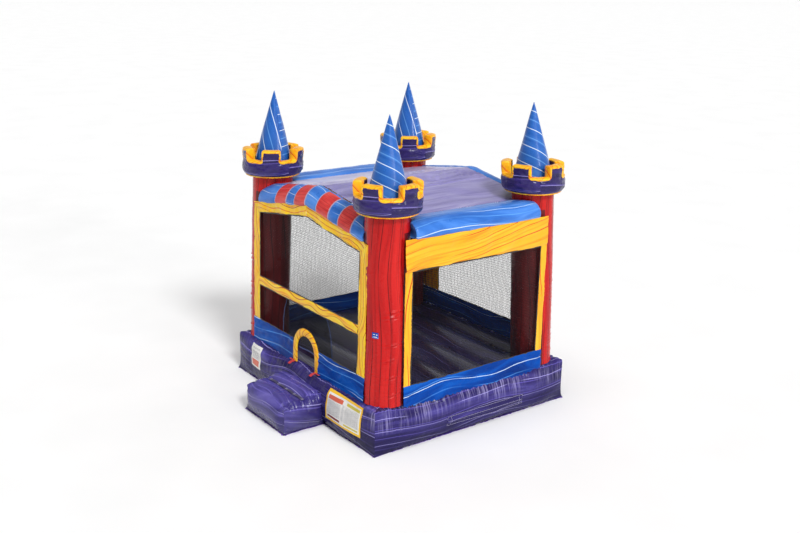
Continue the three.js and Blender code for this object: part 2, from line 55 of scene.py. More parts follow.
BASE_X, BASE_Y, BASE_TOP = 1.98, 1.812, 0.6743
BAFFLE_PITCH = 0.68
STEP_X, STEP_HALF_X, STEP_FRONT, STEP_BACK = 0.12, 0.56, -2.502, -1.80
STEP_FRONT_TOP, STEP_BACK_TOP, STRAP_Y = 0.430, 0.500, -2.166
STEP_Y, STEP_HALF_Y = (STEP_FRONT + STEP_BACK) / 2, (STEP_BACK - STEP_FRONT) / 2
TOWER_X, TOWER_Y, TOWER_R, TOWER_TOP_R, LEAN = 1.645, 1.415, 0.313, 0.319, 0.027
CROWN_BOTTOM, CROWN_HEIGHT, CRENEL_FLOOR = 2.697, 0.407, 0.239
CROWN_IN, MERLONS, CONE_APEX = 0.330, 5, 1.298
WALL_LEAN, WALL_Y, SIDE_X = 0.0248, 1.7283, 1.960
FRONT_HALF, FRONT_CORNER, FRONT_PEAK = 1.590, 2.265, 2.509
WINDOW_HALF, WINDOW_CORNER, WINDOW_PEAK = 1.405, 2.129, 2.343
RAIL_TOP, RAIL_BOTTOM, FRONT_BAND = 1.077, 0.938, 0.351
BACK_WINDOW, BACK_BAND = 1.090, 0.306
SIDE_HALF, SIDE_WINDOW, HEADER_TOP, HEADER_BOTTOM, SIDE_BAND = 1.316, 1.201, 2.361, 1.913, 0.246
DOOR_X, DOOR_OUT, DOOR_IN, DOOR_SPRING = 0.030, 0.370, 0.250, 0.228
FLAP_HALF, FLAP_HINGE, FLAP_BOTTOM, FLAP_Y = 0.720, 1.600, 0.900, -1.690
ROOF_RIDGE, ROOF_SLOPE, ROOF_EAVE, ROOF_Y = 3.442, 0.153, 1.455, 1.372
ARCH_HALF, BEAM_HALF = 1.450, 1.150
INLET_X, INLET_Z, INLET_END = 1.150, 0.300, 2.180

# The sides by the way they face, with the seed of each one's creases.
FACES = {"front": (0, -1), "right": (1, 0), "back": (0, 1), "left": (-1, 0)}
FACE_SEEDS = {"front": 11, "right": 18, "back": 25, "left": 32}
# The towers by the corner they stand on, with the angle of their first crenel in degrees.
TOWERS = {
    "left_front": (-1, -1, 2.5),
    "right_front": (1, -1, -30.0),
    "right_back": (1, 1, -30.0),
    "left_back": (-1, 1, 2.5),
}
FULL_TURN = 2 * math.pi


# ---- Camera ----


def direction(azimuth, elevation):
    """The way to the viewer, for angles in degrees. Azimuth 0 is in front of the door."""
    a, e = math.radians(azimuth), math.radians(elevation)
    return Vector((math.sin(a) * math.cos(e), -math.cos(a) * math.cos(e), math.sin(e)))


def make_camera():
    """The main view, with a slight roll."""
    azimuth, elevation, roll = 53.364, 16.514, math.radians(0.983)
    back, right = direction(azimuth, elevation), direction(azimuth + 90, 0)
    up = back.cross(right)
    rolled_right = math.cos(roll) * right + math.sin(roll) * up
    rolled_up = math.cos(roll) * up - math.sin(roll) * right
    data = bpy.data.cameras.new("camera")
    data.lens, data.sensor_width = 45.09, 36
    data.clip_end = 500
    camera = bpy.data.objects.new("camera", data)
    turn = Matrix((rolled_right, rolled_up, back)).transposed().to_4x4()
    camera.matrix_world = Matrix.Translation((12.2748, -9.0808, 6.5027)) @ turn
    bpy.context.scene.collection.objects.link(camera)
    bpy.context.scene.camera = camera


make_camera()


# ---- Points and fields ----


def joined(*parts):
    """The parts spread over one grid, as the coordinates of its points."""
    return np.stack(np.broadcast_arrays(*parts), -1)


def smooth(value, low, high):
    """0 below low, 1 above high, smooth between them."""
    t = np.clip((value - low) / (high - low), 0, 1)
    return t * t * (3 - 2 * t)


def bell(value, width):
    """1 where the value is 0, and next to nothing beyond twice the width."""
    return np.exp(-((value / width) ** 2))


def fade(value, reach):
    """1 where the value is 0, and a third as much for every reach."""
    return np.exp(-value / reach)


def ripple(points, size, seed, octaves=2):
    """A smooth random field over points, from about -1 to 1, with waves about size metres long."""
    random = np.random.default_rng(seed)
    total = np.zeros(points.shape[:-1])
    for octave in range(octaves):
        for _ in range(6):
            way = random.normal(size=points.shape[-1])
            way *= FULL_TURN / size * 2**octave * random.uniform(0.6, 1.3) / np.linalg.norm(way)
            total += 0.5**octave * np.sin(points @ way + random.uniform(0, FULL_TURN))
    return total / 3


def gathers(along, pitch, seed):
    """Uneven ridges, 0 to 1, at about the pitch: what a seam makes of the cloth that it gathers."""
    phases = np.random.default_rng(seed).uniform(0, FULL_TURN, 5)
    turns = FULL_TURN * along / pitch
    phase = turns + 2.1 * np.sin(turns / 6.3 + phases[0]) + 1.3 * np.sin(turns / 2.9 + phases[1])
    size = 0.55 + 0.3 * np.sin(turns / 4.1 + phases[2]) + 0.25 * np.sin(turns / 9.7 + phases[3])
    return np.clip(size, 0, 1) * (0.5 + 0.5 * np.sin(phase + phases[4])) ** 1.5


def curve(points, count):
    """count points, evenly spaced, on a smooth line through the points."""
    p = np.array(points, float)
    p = np.concatenate([[2 * p[0] - p[1]], p, [2 * p[-1] - p[-2]]])
    t = np.linspace(0, 1, 24, endpoint=False)[:, None]
    fine = []
    for a, b, c, d in zip(p[:-3], p[1:-2], p[2:-1], p[3:]):
        fine.append(b + 0.5 * t * (c - a + t * (2 * a - 5 * b + 4 * c - d + t * (3 * (b - c) + d - a))))
    fine = np.concatenate([*fine, [p[-2]]])
    run = np.concatenate([[0], np.cumsum(np.linalg.norm(np.diff(fine, axis=0), axis=1))])
    at = np.linspace(0, run[-1], count)
    return joined(*(np.interp(at, run, fine[:, axis]) for axis in range(fine.shape[1])))


def lengths(points, axis):
    """How far each point of a grid is along its own line, in metres."""
    gaps = np.linalg.norm(np.diff(points, axis=axis), axis=-1)
    start = np.zeros_like(np.take(gaps, [0], axis=axis))
    return np.concatenate([start, np.cumsum(gaps, axis=axis)], axis=axis)


def unit(vectors):
    return vectors / np.linalg.norm(vectors, axis=-1, keepdims=True)


def ways(line, closed=False):
    """The unit vectors along a line of points."""
    tangent = np.gradient(line, axis=0)
    if closed:
        tangent[0] = tangent[-1] = line[1] - line[-2]
    return unit(tangent)


# ---- Meshes ----


class Shell:
    """Grids of points gathered into one mesh, with UVs in metres."""

    def __init__(self):
        self.points, self.quads, self.uvs, self.looks = [], [], [], []

    def grid(self, points, uv, look=0):
        rows, columns = points.shape[:2]
        index = np.arange(rows * columns).reshape(rows, columns)
        quads = joined(index[:-1, :-1], index[1:, :-1], index[1:, 1:], index[:-1, 1:]).reshape(-1, 4)
        offset = sum(len(p) for p in self.points)
        self.points.append(points.reshape(-1, 3))
        self.quads.append(quads + offset)
        self.uvs.append(uv.reshape(-1, 2)[quads])
        self.looks.append(np.full(len(quads), look))
        return self

    def slab(self, front, back, uv, look=0):
        """A sheet with two faces and a rim all round."""
        self.grid(front, uv, look).grid(back[::-1], uv[::-1], look)
        rim_width = 0.004
        for edge in (np.s_[0], np.s_[-1], np.s_[:, 0], np.s_[:, -1]):
            rim_uv = np.stack([uv[edge], uv[edge] + rim_width])
            self.grid(np.stack([front[edge], back[edge]]), rim_uv, look)
        return self

    def build(self, name, *materials, weld=2e-4, sharp=55):
        mesh = bpy.data.meshes.new(name)
        mesh.from_pydata(np.concatenate(self.points).tolist(), [], np.concatenate(self.quads).tolist())
        uvs = np.concatenate(self.uvs).astype(np.float32).ravel()
        mesh.uv_layers.new(name="UVMap").data.foreach_set("uv", uvs)
        mesh.polygons.foreach_set("material_index", np.concatenate(self.looks).astype(np.int32))
        for material in materials:
            mesh.materials.append(material)
        work = bmesh.new()
        work.from_mesh(mesh)
        bmesh.ops.remove_doubles(work, verts=work.verts, dist=weld)
        bmesh.ops.dissolve_degenerate(work, edges=work.edges, dist=weld / 4)
        bmesh.ops.recalc_face_normals(work, faces=work.faces)
        work.to_mesh(mesh)
        work.free()
        mesh.shade_smooth()
        mesh.set_sharp_from_angle(angle=math.radians(sharp))
        made = bpy.data.objects.new(name, mesh)
        bpy.context.scene.collection.objects.link(made)
        return made


def settle(piece, slot, *nodes, body="house", fill=None):
    """Gives a piece its body and hides the CAD nodes it stands for; its material slot is not used."""
    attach(piece, body)
    if nodes:
        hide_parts(*nodes)
    return piece


AIR = {
    "quality": 4, "mass": 0.3, "tension_stiffness": 12, "compression_stiffness": 12, "shear_stiffness": 4,
    "bending_stiffness": 0.3, "use_pressure": True,
}


def positions(mesh):
    """The places of a mesh's points."""
    places = np.empty(3 * len(mesh.vertices))
    mesh.vertices.foreach_get("co", places)
    return places.reshape(-1, 3)


def inflate(piece, hold, pressure, slack, cap, frames=20):
    """Blows a cut shape up with Cloth, from seams that hold, and keeps each point within cap of its place.

    hold gives how firmly each point is held, 0 to 1. slack is how much more cloth there is than shape."""
    scene, mesh = bpy.context.scene, piece.data
    cut = positions(mesh)
    group = piece.vertex_groups.new(name="seams")
    held = np.round(np.clip(hold(cut), 0, 1), 1)
    for level in np.unique(held):
        group.add(np.flatnonzero(held == level).tolist(), float(level), "REPLACE")
    cloth = piece.modifiers.new("air", "CLOTH")
    for setting, value in AIR.items():
        setattr(cloth.settings, setting, value)
    cloth.settings.uniform_pressure_force = pressure
    cloth.settings.shrink_min, cloth.settings.vertex_group_mass = -slack, "seams"
    cloth.settings.effector_weights.gravity = 0
    cloth.collision_settings.use_collision = False
    cloth.point_cache.frame_start, cloth.point_cache.frame_end = 1, frames
    for moment in range(1, frames + 1):
        scene.frame_set(moment)
    move = positions(piece.evaluated_get(bpy.context.evaluated_depsgraph_get()).data) - cut
    far = np.linalg.norm(move, axis=1, keepdims=True)
    move *= np.minimum(1, cap / np.maximum(far, 1e-9))
    piece.modifiers.remove(cloth)
    piece.vertex_groups.remove(group)
    scene.frame_set(1)
    mesh.vertices.foreach_set("co", (cut + move).ravel())
    mesh.update()


# ---- Materials ----


def srgb(red, green, blue):
    """A colour given as 0 to 255, in linear light."""
    linear = []
    for value in (red / 255, green / 255, blue / 255):
        linear.append(value / 12.92 if value <= 0.04045 else ((value + 0.055) / 1.055) ** 2.4)
    return (*linear, 1.0)


def stripes(share):
    """What a wave gives at that share of its pitch away from a line's middle."""
    return 0.5 + 0.5 * math.cos(math.pi * share)


class Nodes:
    """The node tree of a material, or of a world, made by nested calls."""

    def __init__(self, name, kind=bpy.data.materials):
        self.made = kind.new(name)
        self.made.use_nodes = True
        self.tree = self.made.node_tree
        self.tree.nodes.clear()
        self.uv = self.node("TexCoord").outputs["UV"]

    def node(self, kind, inputs=None, **settings):
        made = self.tree.nodes.new("ShaderNode" + kind)
        for key, value in settings.items():
            setattr(made, key, value)
        for key, value in (inputs or {}).items():
            if isinstance(value, bpy.types.NodeSocket):
                self.tree.links.new(value, made.inputs[key])
            else:
                made.inputs[key].default_value = value
        return made

    def mapped(self, scale=(1, 1), shift=(0, 0), vector=None):
        inputs = {"Vector": vector or self.uv, "Scale": (*scale, 1), "Location": (*shift, 0)}
        return self.node("Mapping", inputs).outputs[0]

    def noise(self, vector, detail=3.0, distortion=0.0):
        inputs = {"Vector": vector, "Scale": 1.0, "Detail": detail}
        inputs |= {"Roughness": 0.55, "Distortion": distortion}
        return self.node("TexNoise", inputs).outputs[0]

    def wave(self, pitch, axis):
        """Straight waves, one every pitch along u (X) or v (Y)."""
        inputs = {"Vector": self.uv, "Scale": math.pi / 10 / pitch}
        return self.node("TexWave", inputs, bands_direction=axis).outputs["Fac"]

    def split(self, vector):
        return self.node("SeparateXYZ", {"Vector": vector}).outputs

    def place(self):
        return self.split(self.node("NewGeometry").outputs["Position"])

    def swayed(self, far, wave, shift):
        """The UVs with their lines bent sideways in long waves."""
        drift = self.noise(self.mapped((1 / wave, 1.3), (shift, 0.6 * shift)), detail=0.0)
        drift = self.math("MULTIPLY", self.math("SUBTRACT", drift, 0.5), 2.4 * far)
        parts = self.split(self.uv)
        return self.node("CombineXYZ", {"X": parts["X"], "Y": self.math("ADD", parts["Y"], drift)}).outputs[0]

    def lines(self, vector, pitch, width, wander):
        """Thin lines along u, one every pitch in v, that wander by about that share of the pitch."""
        wave = self.node("TexWave", {
            "Vector": vector, "Scale": math.pi / 10 / pitch, "Distortion": wander * FULL_TURN,
            "Detail": 1.5, "Detail Scale": 0.4, "Detail Roughness": 0.4,
        }, bands_direction="Y")
        edge, full = stripes(min(1.0, 1.5 * width / pitch)), stripes(0.5 * width / pitch)
        return self.fit(wave.outputs["Fac"], edge, full)

    def fit(self, value, low, high, to_low=0.0, to_high=1.0):
        inputs = {"Value": value, "From Min": low, "From Max": high, "To Min": to_low, "To Max": to_high}
        return self.node("MapRange", inputs).outputs[0]

    def math(self, operation, a, b=0.0):
        return self.node("Math", {0: a, 1: b}, operation=operation).outputs[0]

    def times(self, first, *others):
        for other in others:
            first = self.math("MULTIPLY", first, other)
        return first

    def ramp(self, value, tones):
        made = self.node("ValToRGB", {"Fac": value})
        elements = made.color_ramp.elements
        while len(elements) < len(tones):
            elements.new(1.0)
        for element, (position, colour) in zip(elements, tones):
            element.position, element.color = position, srgb(*colour)
        return made.outputs["Color"]

    def mix(self, share, a, b):
        return self.node("Mix", {0: share, 6: a, 7: b}, data_type="RGBA").outputs[2]

    def bump(self, height, distance, strength=1.0, normal=None):
        inputs = {"Height": height, "Distance": distance, "Strength": strength}
        if normal is not None:
            inputs["Normal"] = normal
        return self.node("Bump", inputs).outputs[0]

    def shader(self, colour, roughness, normal, **sockets):
        inputs = {"Base Color": colour, "Roughness": roughness, "Normal": normal}
        inputs.update({key.replace("_", " "): value for key, value in sockets.items()})
        return self.node("BsdfPrincipled", inputs).outputs[0]

    def output(self, shader, kind="OutputMaterial"):
        self.node(kind, {"Surface": shader})
        return self.made

    def surface(self, *inputs, **sockets):
        return self.output(self.shader(*inputs, **sockets))


SCRIM_PITCH = math.pi / 1200
# The pale streak colour is a painted highlight; the near-black colour and its darkness are painted shade
# toward the ground.
STREAK_HIGHLIGHT_COLOUR, GROUND_SHADE_COLOUR, GROUND_SHADE_DARKNESS = srgb(178, 170, 222), srgb(12, 9, 26), 0.72
HIGHLIGHT_SIDE = (1.80, 1.90)  # Painted highlight streaks go only on the right side, which the key lamp lights: they come in between these x.


def coated_cloth(nodes, colour, rough=(0.26, 0.40), crumple=0.0022, coat=0.12, shine=0.24, grain=(5, 11)):
    """Finishes a coated fabric: a fine scrim under the print, faint crumples and uneven gloss."""
    scrim = nodes.times(nodes.wave(SCRIM_PITCH, "X"), nodes.wave(SCRIM_PITCH, "Y"))
    folds = nodes.noise(nodes.mapped(grain), detail=4.0, distortion=0.7)
    fine_folds = nodes.noise(nodes.mapped((24, 38)), detail=2.0, distortion=0.3)
    normal = nodes.bump(scrim, 0.00015, 0.5)
    normal = nodes.bump(fine_folds, crumple * 0.35, 0.8, normal)
    normal = nodes.bump(folds, crumple, 1.0, normal)
    smudge = nodes.noise(nodes.mapped((3.1, 4.3)), detail=5.0)
    roughness = nodes.fit(smudge, 0.3, 0.7, *rough)
    return nodes.surface(colour, roughness, normal, Coat_Weight=coat, Coat_Roughness=0.2,
                         Specular_IOR_Level=shine)


def paint_highlight_streaks(nodes, colour, top, shift):
    """Painted highlights: pale streaks that run down from the top seam of the right side."""
    streaks = nodes.noise(nodes.mapped((36, 1.3), (shift, 0)), detail=2.0)
    patches = nodes.noise(nodes.mapped((1.3, 2.2), (shift, 5)), detail=1.0)
    place = nodes.place()
    share = nodes.times(nodes.fit(streaks, 0.47, 0.72, 0.0, 0.80), nodes.fit(patches, 0.38, 0.60),
                        nodes.fit(place["Z"], top - 0.22, top), nodes.fit(place["X"], *HIGHLIGHT_SIDE, 0.15, 1.0))
    return nodes.mix(share, colour, STREAK_HIGHLIGHT_COLOUR)


def printed(name, tones, flow, lines=(), swirl=1.2, shift=0.0, sway=(0.10, 1.6), soil=None, worn=None,
            **finish):
    """Printed vinyl: tones that flow along u, with sets of thin lines over them.

    A set of lines is its colour, pitch, width and share. sway is how far the flow wanders, and over what
    length. Painted shade darkens the cloth toward the ground up to one height, and painted highlight
    streaks lighten it below another."""
    nodes = Nodes(name)
    flowing = nodes.swayed(*sway, shift)
    streaks = nodes.noise(nodes.mapped(flow, (shift, 1.7 * shift), flowing), detail=5.0, distortion=swirl)
    colour = nodes.ramp(streaks, tones)
    for number, (line_colour, pitch, width, share) in enumerate(lines):
        placed = nodes.mapped(shift=(0, shift + 1.13 * number * pitch), vector=flowing)
        line = nodes.lines(placed, pitch, width, 0.16)
        gaps = nodes.noise(nodes.mapped((0.9, 5), (7.1 * number, shift)), detail=1.0)
        line = nodes.times(line, nodes.fit(gaps, 0.36, 0.5, 0.0, share))
        colour = nodes.mix(line, colour, srgb(*line_colour))
    # Painted highlights: pale streaks down from the top seam.
    if worn is not None:
        colour = paint_highlight_streaks(nodes, colour, worn, shift)
    # Painted shade: the colour darkens toward the ground, up to the given height.
    if soil is not None:
        ground_shade = nodes.fit(nodes.place()["Z"], 0.0, soil, GROUND_SHADE_DARKNESS, 0.0)
        colour = nodes.mix(ground_shade, colour, GROUND_SHADE_COLOUR)
    return coated_cloth(nodes, colour, **finish)


PURPLE_TONES = [(0.30, (30, 24, 70)), (0.45, (46, 38, 98)), (0.58, (62, 54, 124)), (0.76, (96, 88, 168))]
# The step's tones are a lighter copy of the base's purple: painted light from above.
STEP_LIT_TONES = [(0.30, (48, 40, 102)), (0.45, (68, 60, 134)), (0.58, (92, 83, 164)), (0.76, (124, 116, 194))]
BEAM_TONES = [(0.30, (38, 96, 180)), (0.46, (56, 118, 206)), (0.60, (78, 138, 222)), (0.78, (120, 168, 236))]
BLUE_TONES = [(0.30, (2, 42, 116)), (0.46, (4, 62, 150)), (0.60, (8, 80, 174)), (0.78, (34, 110, 200))]
YELLOW_TONES = [(0.26, (238, 140, 16)), (0.4, (248, 170, 24)), (0.6, (251, 184, 36)), (0.78, (254, 202, 76))]
# The front frame's tones are a brighter copy of the yellow: painted light on the front, which the lamps light
# less.
FRONT_LIT_TONES = [(0.26, (248, 164, 14)), (0.40, (255, 200, 16)), (0.60, (255, 214, 26)), (0.78, (255, 224, 66))]
LINING_TONES = [(0.26, (240, 130, 14)), (0.4, (252, 176, 20)), (0.6, (255, 196, 34)), (0.78, (255, 212, 74))]
TRIM_TONES = [(0.28, (240, 140, 12)), (0.38, (255, 188, 18)), (0.60, (255, 204, 28)), (0.78, (255, 214, 60))]

# Printed cloths by look: the material's name, its tones, its flow along and across, its lines, the rest.
PRINTS = {
    # The base's cloth gets painted shade toward the ground and, on its right side, painted highlight streaks.
    "purple": ("purple_vinyl", PURPLE_TONES, (0.6, 5.0),
               [((160, 152, 224), 0.21, 0.008, 0.9), ((104, 92, 188), 0.15, 0.012, 0.6)],
               dict(soil=0.42, worn=0.50, rough=(0.20, 0.32), coat=0.08, shine=0.12, sway=(0.14, 1.3))),
    # The step's cloth gets painted shade toward the ground.
    "step": ("step_vinyl", STEP_LIT_TONES, (0.8, 4.0),
             [((172, 164, 230), 0.19, 0.007, 0.9), ((120, 108, 204), 0.13, 0.010, 0.6)],
             dict(shift=2.6, soil=0.46, rough=(0.20, 0.30), coat=0.20, shine=0.24, sway=(0.16, 1.0))),
    # The floor inside the walls: a darker, greyer copy of the purple, painted shade under the roof.
    "floor": ("floor_vinyl", [(0.3, (34, 28, 58)), (0.5, (48, 41, 80)), (0.75, (68, 60, 108))], (0.6, 3.5),
              [((126, 120, 176), 0.24, 0.008, 0.8)],
              dict(rough=(0.26, 0.38), coat=0.6, shine=0.6, sway=(0.20, 1.2))),
    "crown": ("crown_vinyl", [(0.3, (28, 19, 66)), (0.5, (42, 31, 92)), (0.75, (64, 51, 126))], (1.0, 7.0),
              [((156, 146, 214), 0.21, 0.008, 0.9), ((96, 84, 172), 0.15, 0.012, 0.5)],
              dict(shift=4.0, rough=(0.22, 0.34), coat=0.16, sway=(0.09, 0.9))),
    "flange": ("flange_vinyl", [(0.3, (84, 52, 150)), (0.5, (112, 72, 178)), (0.7, (140, 100, 200))],
               (4.0, 30.0), [((60, 36, 120), 0.03, 0.003, 0.6)], dict(shift=8.0)),
    "red": ("red_vinyl", [(0.30, (158, 13, 16)), (0.48, (190, 24, 24)), (0.72, (210, 38, 34))], (0.5, 6.0),
            [((84, 6, 12), 0.135, 0.010, 0.95), ((140, 10, 14), 0.22, 0.024, 0.5),
             ((130, 10, 14), 0.083, 0.004, 0.6)],
            dict(swirl=0.6, coat=0.12, shine=0.14, rough=(0.2, 0.32), grain=(26, 2.6), sway=(0.10, 1.5))),
    # A darker copy of the red: painted shade on the column faces inside the castle.
    "red_in_shade": ("red_inside_vinyl", [(0.30, (70, 12, 14)), (0.5, (96, 16, 18)), (0.72, (118, 22, 22))],
                   (0.5, 6.0), [((40, 4, 8), 0.135, 0.010, 0.95)], dict(swirl=0.6)),
    "stripe": ("stripe_vinyl", [(0.32, (188, 40, 42)), (0.5, (214, 62, 60)), (0.7, (228, 88, 80))], (1.5, 9.0),
               [((130, 22, 30), 0.05, 0.004, 0.8)], dict(shift=2.0, sway=(0.03, 0.5))),
    "blue": ("blue_vinyl", BLUE_TONES, (0.8, 4.5),
             [((204, 226, 250), 0.30, 0.008, 0.95), ((92, 160, 236), 0.17, 0.012, 0.6)],
             dict(shift=1.0, sway=(0.11, 1.0), coat=0.02, shine=0.06)),
    "beam": ("beam_vinyl", BEAM_TONES, (0.7, 4.0),
             [((208, 228, 250), 0.25, 0.008, 0.95), ((104, 168, 238), 0.12, 0.009, 0.7)],
             dict(shift=9.0, coat=0.3, sway=(0.09, 0.9))),
    "gable": ("gable_vinyl", BEAM_TONES, (0.9, 5.0), [((204, 224, 248), 0.17, 0.007, 0.95)],
              dict(shift=2.4, sway=(0.08, 0.7))),
    "yellow": ("yellow_vinyl", YELLOW_TONES, (0.7, 5.0),
               [((200, 60, 18), 0.160, 0.012, 1.0), ((244, 140, 16), 0.19, 0.026, 0.6),
                ((226, 104, 20), 0.125, 0.005, 0.8)],
               dict(shift=3.0, sway=(0.24, 1.7))),
    # The front frame's own finer print, on the brighter tones: painted light.
    "yellow_front_lit": ("front_yellow_vinyl", FRONT_LIT_TONES, (1.4, 6.0),
                     [((186, 44, 16), 0.085, 0.011, 1.0), ((240, 128, 16), 0.11, 0.020, 0.7)],
                     dict(shift=5.0, sway=(0.16, 0.6))),
    "lining": ("lining_vinyl", LINING_TONES, (4.0, 6.0),
               [((206, 60, 18), 0.150, 0.010, 0.95), ((240, 120, 14), 0.11, 0.016, 0.6)],
               dict(shift=6.0, sway=(0.06, 0.3))),
    "trim": ("trim_vinyl", TRIM_TONES, (3.0, 5.0),
             [((190, 40, 16), 0.085, 0.012, 0.95), ((232, 110, 18), 0.06, 0.008, 0.7)],
             dict(shift=7.0, sway=(0.04, 0.25))),
    # Both roof halves are a light, greyish lavender: the cloth's own colour and, in part, painted sky
    # reflection. The left half is a paler copy, painted reflection.
    "roof_right": ("roof_vinyl", [(0.3, (118, 110, 168)), (0.5, (144, 137, 192)), (0.72, (176, 170, 214))],
                   (0.6, 5.0), [((168, 160, 208), 0.17, 0.007, 0.6)],
                   dict(shift=6.0, rough=(0.30, 0.42), coat=0.5, shine=0.5, sway=(0.05, 1.2))),
    "roof_left": ("roof_pale_vinyl",
                  [(0.3, (162, 156, 202)), (0.5, (188, 183, 222)), (0.72, (210, 206, 236))],
                  (0.6, 5.0), [((206, 200, 228), 0.17, 0.007, 0.6)],
                  dict(shift=6.5, rough=(0.30, 0.42), coat=0.5, shine=0.5)),
    "edge": ("label_edge", [(0.3, (244, 184, 30)), (0.7, (252, 206, 62))], (2, 2), (), {}),
    "paper": ("label_white", [(0.3, (226, 224, 220)), (0.7, (248, 247, 244))], (2, 2), (), {}),
    "paper_gold": ("label_gold", [(0.3, (196, 180, 60)), (0.7, (222, 206, 96))], (2, 2), (), {}),
    "paper_red": ("label_red", [(0.3, (206, 92, 70)), (0.7, (226, 116, 92))], (2, 2), (), {}),
    "paper_dark": ("label_dark", [(0.3, (120, 34, 34)), (0.7, (142, 48, 44))], (2, 2), (), {}),
}

# Webbing by look: the material's name, its dark and light tones, and its thread pitch.
WEAVES = {
    "bind": ("curtain_binding", (26, 44, 92), (58, 86, 150), 0.0035),
    "web": ("dark_webbing", (36, 30, 66), (64, 56, 104), 0.0035),
    "hem": ("net_hem", (24, 20, 20), (48, 40, 34), 0.0035),
    "tab": ("red_webbing", (176, 18, 32), (214, 44, 54), 0.0035),
    "zip": ("zip_tape", (40, 33, 74), (66, 58, 112), 0.0035),
    "thread": ("pale_thread", (148, 142, 176), (190, 186, 210), 0.004),
}


def cone_cloth():
    """Blue vinyl with straight white lines, and paler blue ones half way between them."""
    nodes = Nodes("cone_vinyl")
    pitch = 0.25
    streaks = nodes.noise(nodes.mapped((0.9, 4.5)), detail=4.0, distortion=1.0)
    colour = nodes.ramp(streaks, [(0.3, (26, 80, 158)), (0.5, (38, 97, 180)), (0.72, (64, 124, 200))])
    dull, bright = (0.5 * pitch, (98, 156, 222), 0.013, 0.75), (0.0, (222, 236, 252), 0.0085, 1.0)
    for shift, tone, width, share in (dull, bright):
        line = nodes.lines(nodes.mapped(shift=(0, shift)), pitch, width, 0.05)
        colour = nodes.mix(nodes.times(line, share), colour, srgb(*tone))
    return coated_cloth(nodes, colour, rough=(0.24, 0.36), crumple=0.0012, coat=0.4)


def woven(name, dark, light, pitch):
    """Webbing: a plain weave of two tones, with its threads in relief."""
    nodes = Nodes(name)
    weave = nodes.times(nodes.wave(pitch, "X"), nodes.wave(pitch, "Y"))
    wear = nodes.noise(nodes.mapped((14, 30)), detail=4.0)
    tone = nodes.math("ADD", nodes.times(weave, 0.5), nodes.times(wear, 0.6))
    colour = nodes.ramp(tone, [(0.2, dark), (0.75, light)])
    return nodes.surface(colour, nodes.fit(wear, 0.3, 0.7, 0.62, 0.85), nodes.bump(weave, 0.0006, 0.8),
                         Sheen_Weight=0.2)


def netting(name, pitch, thread):
    """Play net: dark threads both ways with see-through holes between them."""
    nodes = Nodes(name)
    edge = stripes(thread / pitch)
    bars = [nodes.fit(nodes.wave(pitch, axis), edge - 0.02, edge + 0.02) for axis in ("X", "Y")]
    cover = nodes.math("MAXIMUM", *bars)
    colour = nodes.ramp(nodes.noise(nodes.mapped((40, 40))), [(0.3, (10, 11, 14)), (0.7, (26, 27, 33))])
    threads = nodes.shader(colour, 0.8, nodes.bump(cover, 0.0008, 0.6), Specular_IOR_Level=0.15)
    holes = nodes.node("BsdfTransparent").outputs[0]
    return nodes.output(nodes.node("MixShader", {0: cover, 1: holes, 2: threads}).outputs[0])


def ruled_label():
    """The grey blocks of a printed panel, as plain rows of bars."""
    nodes = Nodes("label_rows")
    brick = nodes.node("TexBrick", {
        "Vector": nodes.uv, "Color1": srgb(120, 120, 124), "Color2": srgb(164, 164, 168),
        "Mortar": srgb(240, 239, 236), "Scale": 1.0, "Mortar Size": 0.0042, "Brick Width": 0.085,
        "Row Height": 0.016,
    }, offset=0.37)
    smudge = nodes.noise(nodes.mapped((20, 20)))
    dirt = nodes.ramp(smudge, [(0.3, (200, 198, 194)), (0.7, (250, 250, 248))])
    colour = nodes.mix(0.12, brick.outputs["Color"], dirt)
    return nodes.surface(colour, nodes.fit(smudge, 0.3, 0.7, 0.4, 0.6), nodes.bump(smudge, 0.0006, 0.5))


def zinc():
    nodes = Nodes("zinc_steel")
    spangle = nodes.noise(nodes.mapped((60, 60)), detail=4.0)
    colour = nodes.ramp(spangle, [(0.3, (150, 152, 156)), (0.7, (205, 207, 210))])
    return nodes.surface(colour, nodes.fit(spangle, 0.3, 0.7, 0.25, 0.45), nodes.bump(spangle, 0.0004, 0.4),
                         Metallic=1.0)


LOOK = {look: printed(*print_, **more) for look, (*print_, more) in PRINTS.items()}
LOOK.update({look: woven(*weave) for look, weave in WEAVES.items()})
LOOK.update(cone=cone_cloth(), print=ruled_label(), steel=zinc(), net=netting("net_mesh", 0.026, 0.0037),
            veil=netting("curtain_mesh", 0.010, 0.0036))


# ---- Base ----

# Sections of a side from the ground seam up over its shoulder: how far out, and how high.
SIDE_SECTION = [(0.004, 0), (0.044, 0.06), (0.066, 0.16), (0.072, 0.28), (0.068, 0.39), (0.050, 0.49),
                (0.014, 0.575), (-0.036, 0.632), (-0.090, 0.661), (-0.150, 0.672)]
CORNER_SECTION = [(0.022, 0), (0.002, 0.06), (-0.006, 0.18), (-0.006, 0.30), (-0.006, 0.42), (-0.005, 0.54),
                  (-0.008, 0.636), (-0.028, 0.664), (-0.080, 0.671), (-0.150, 0.672)]
BASE_PLEATS = 0.085
# Inside these half sizes the top takes the darker floor cloth: painted shade.
SHADED_FLOOR = (1.955, 1.725)


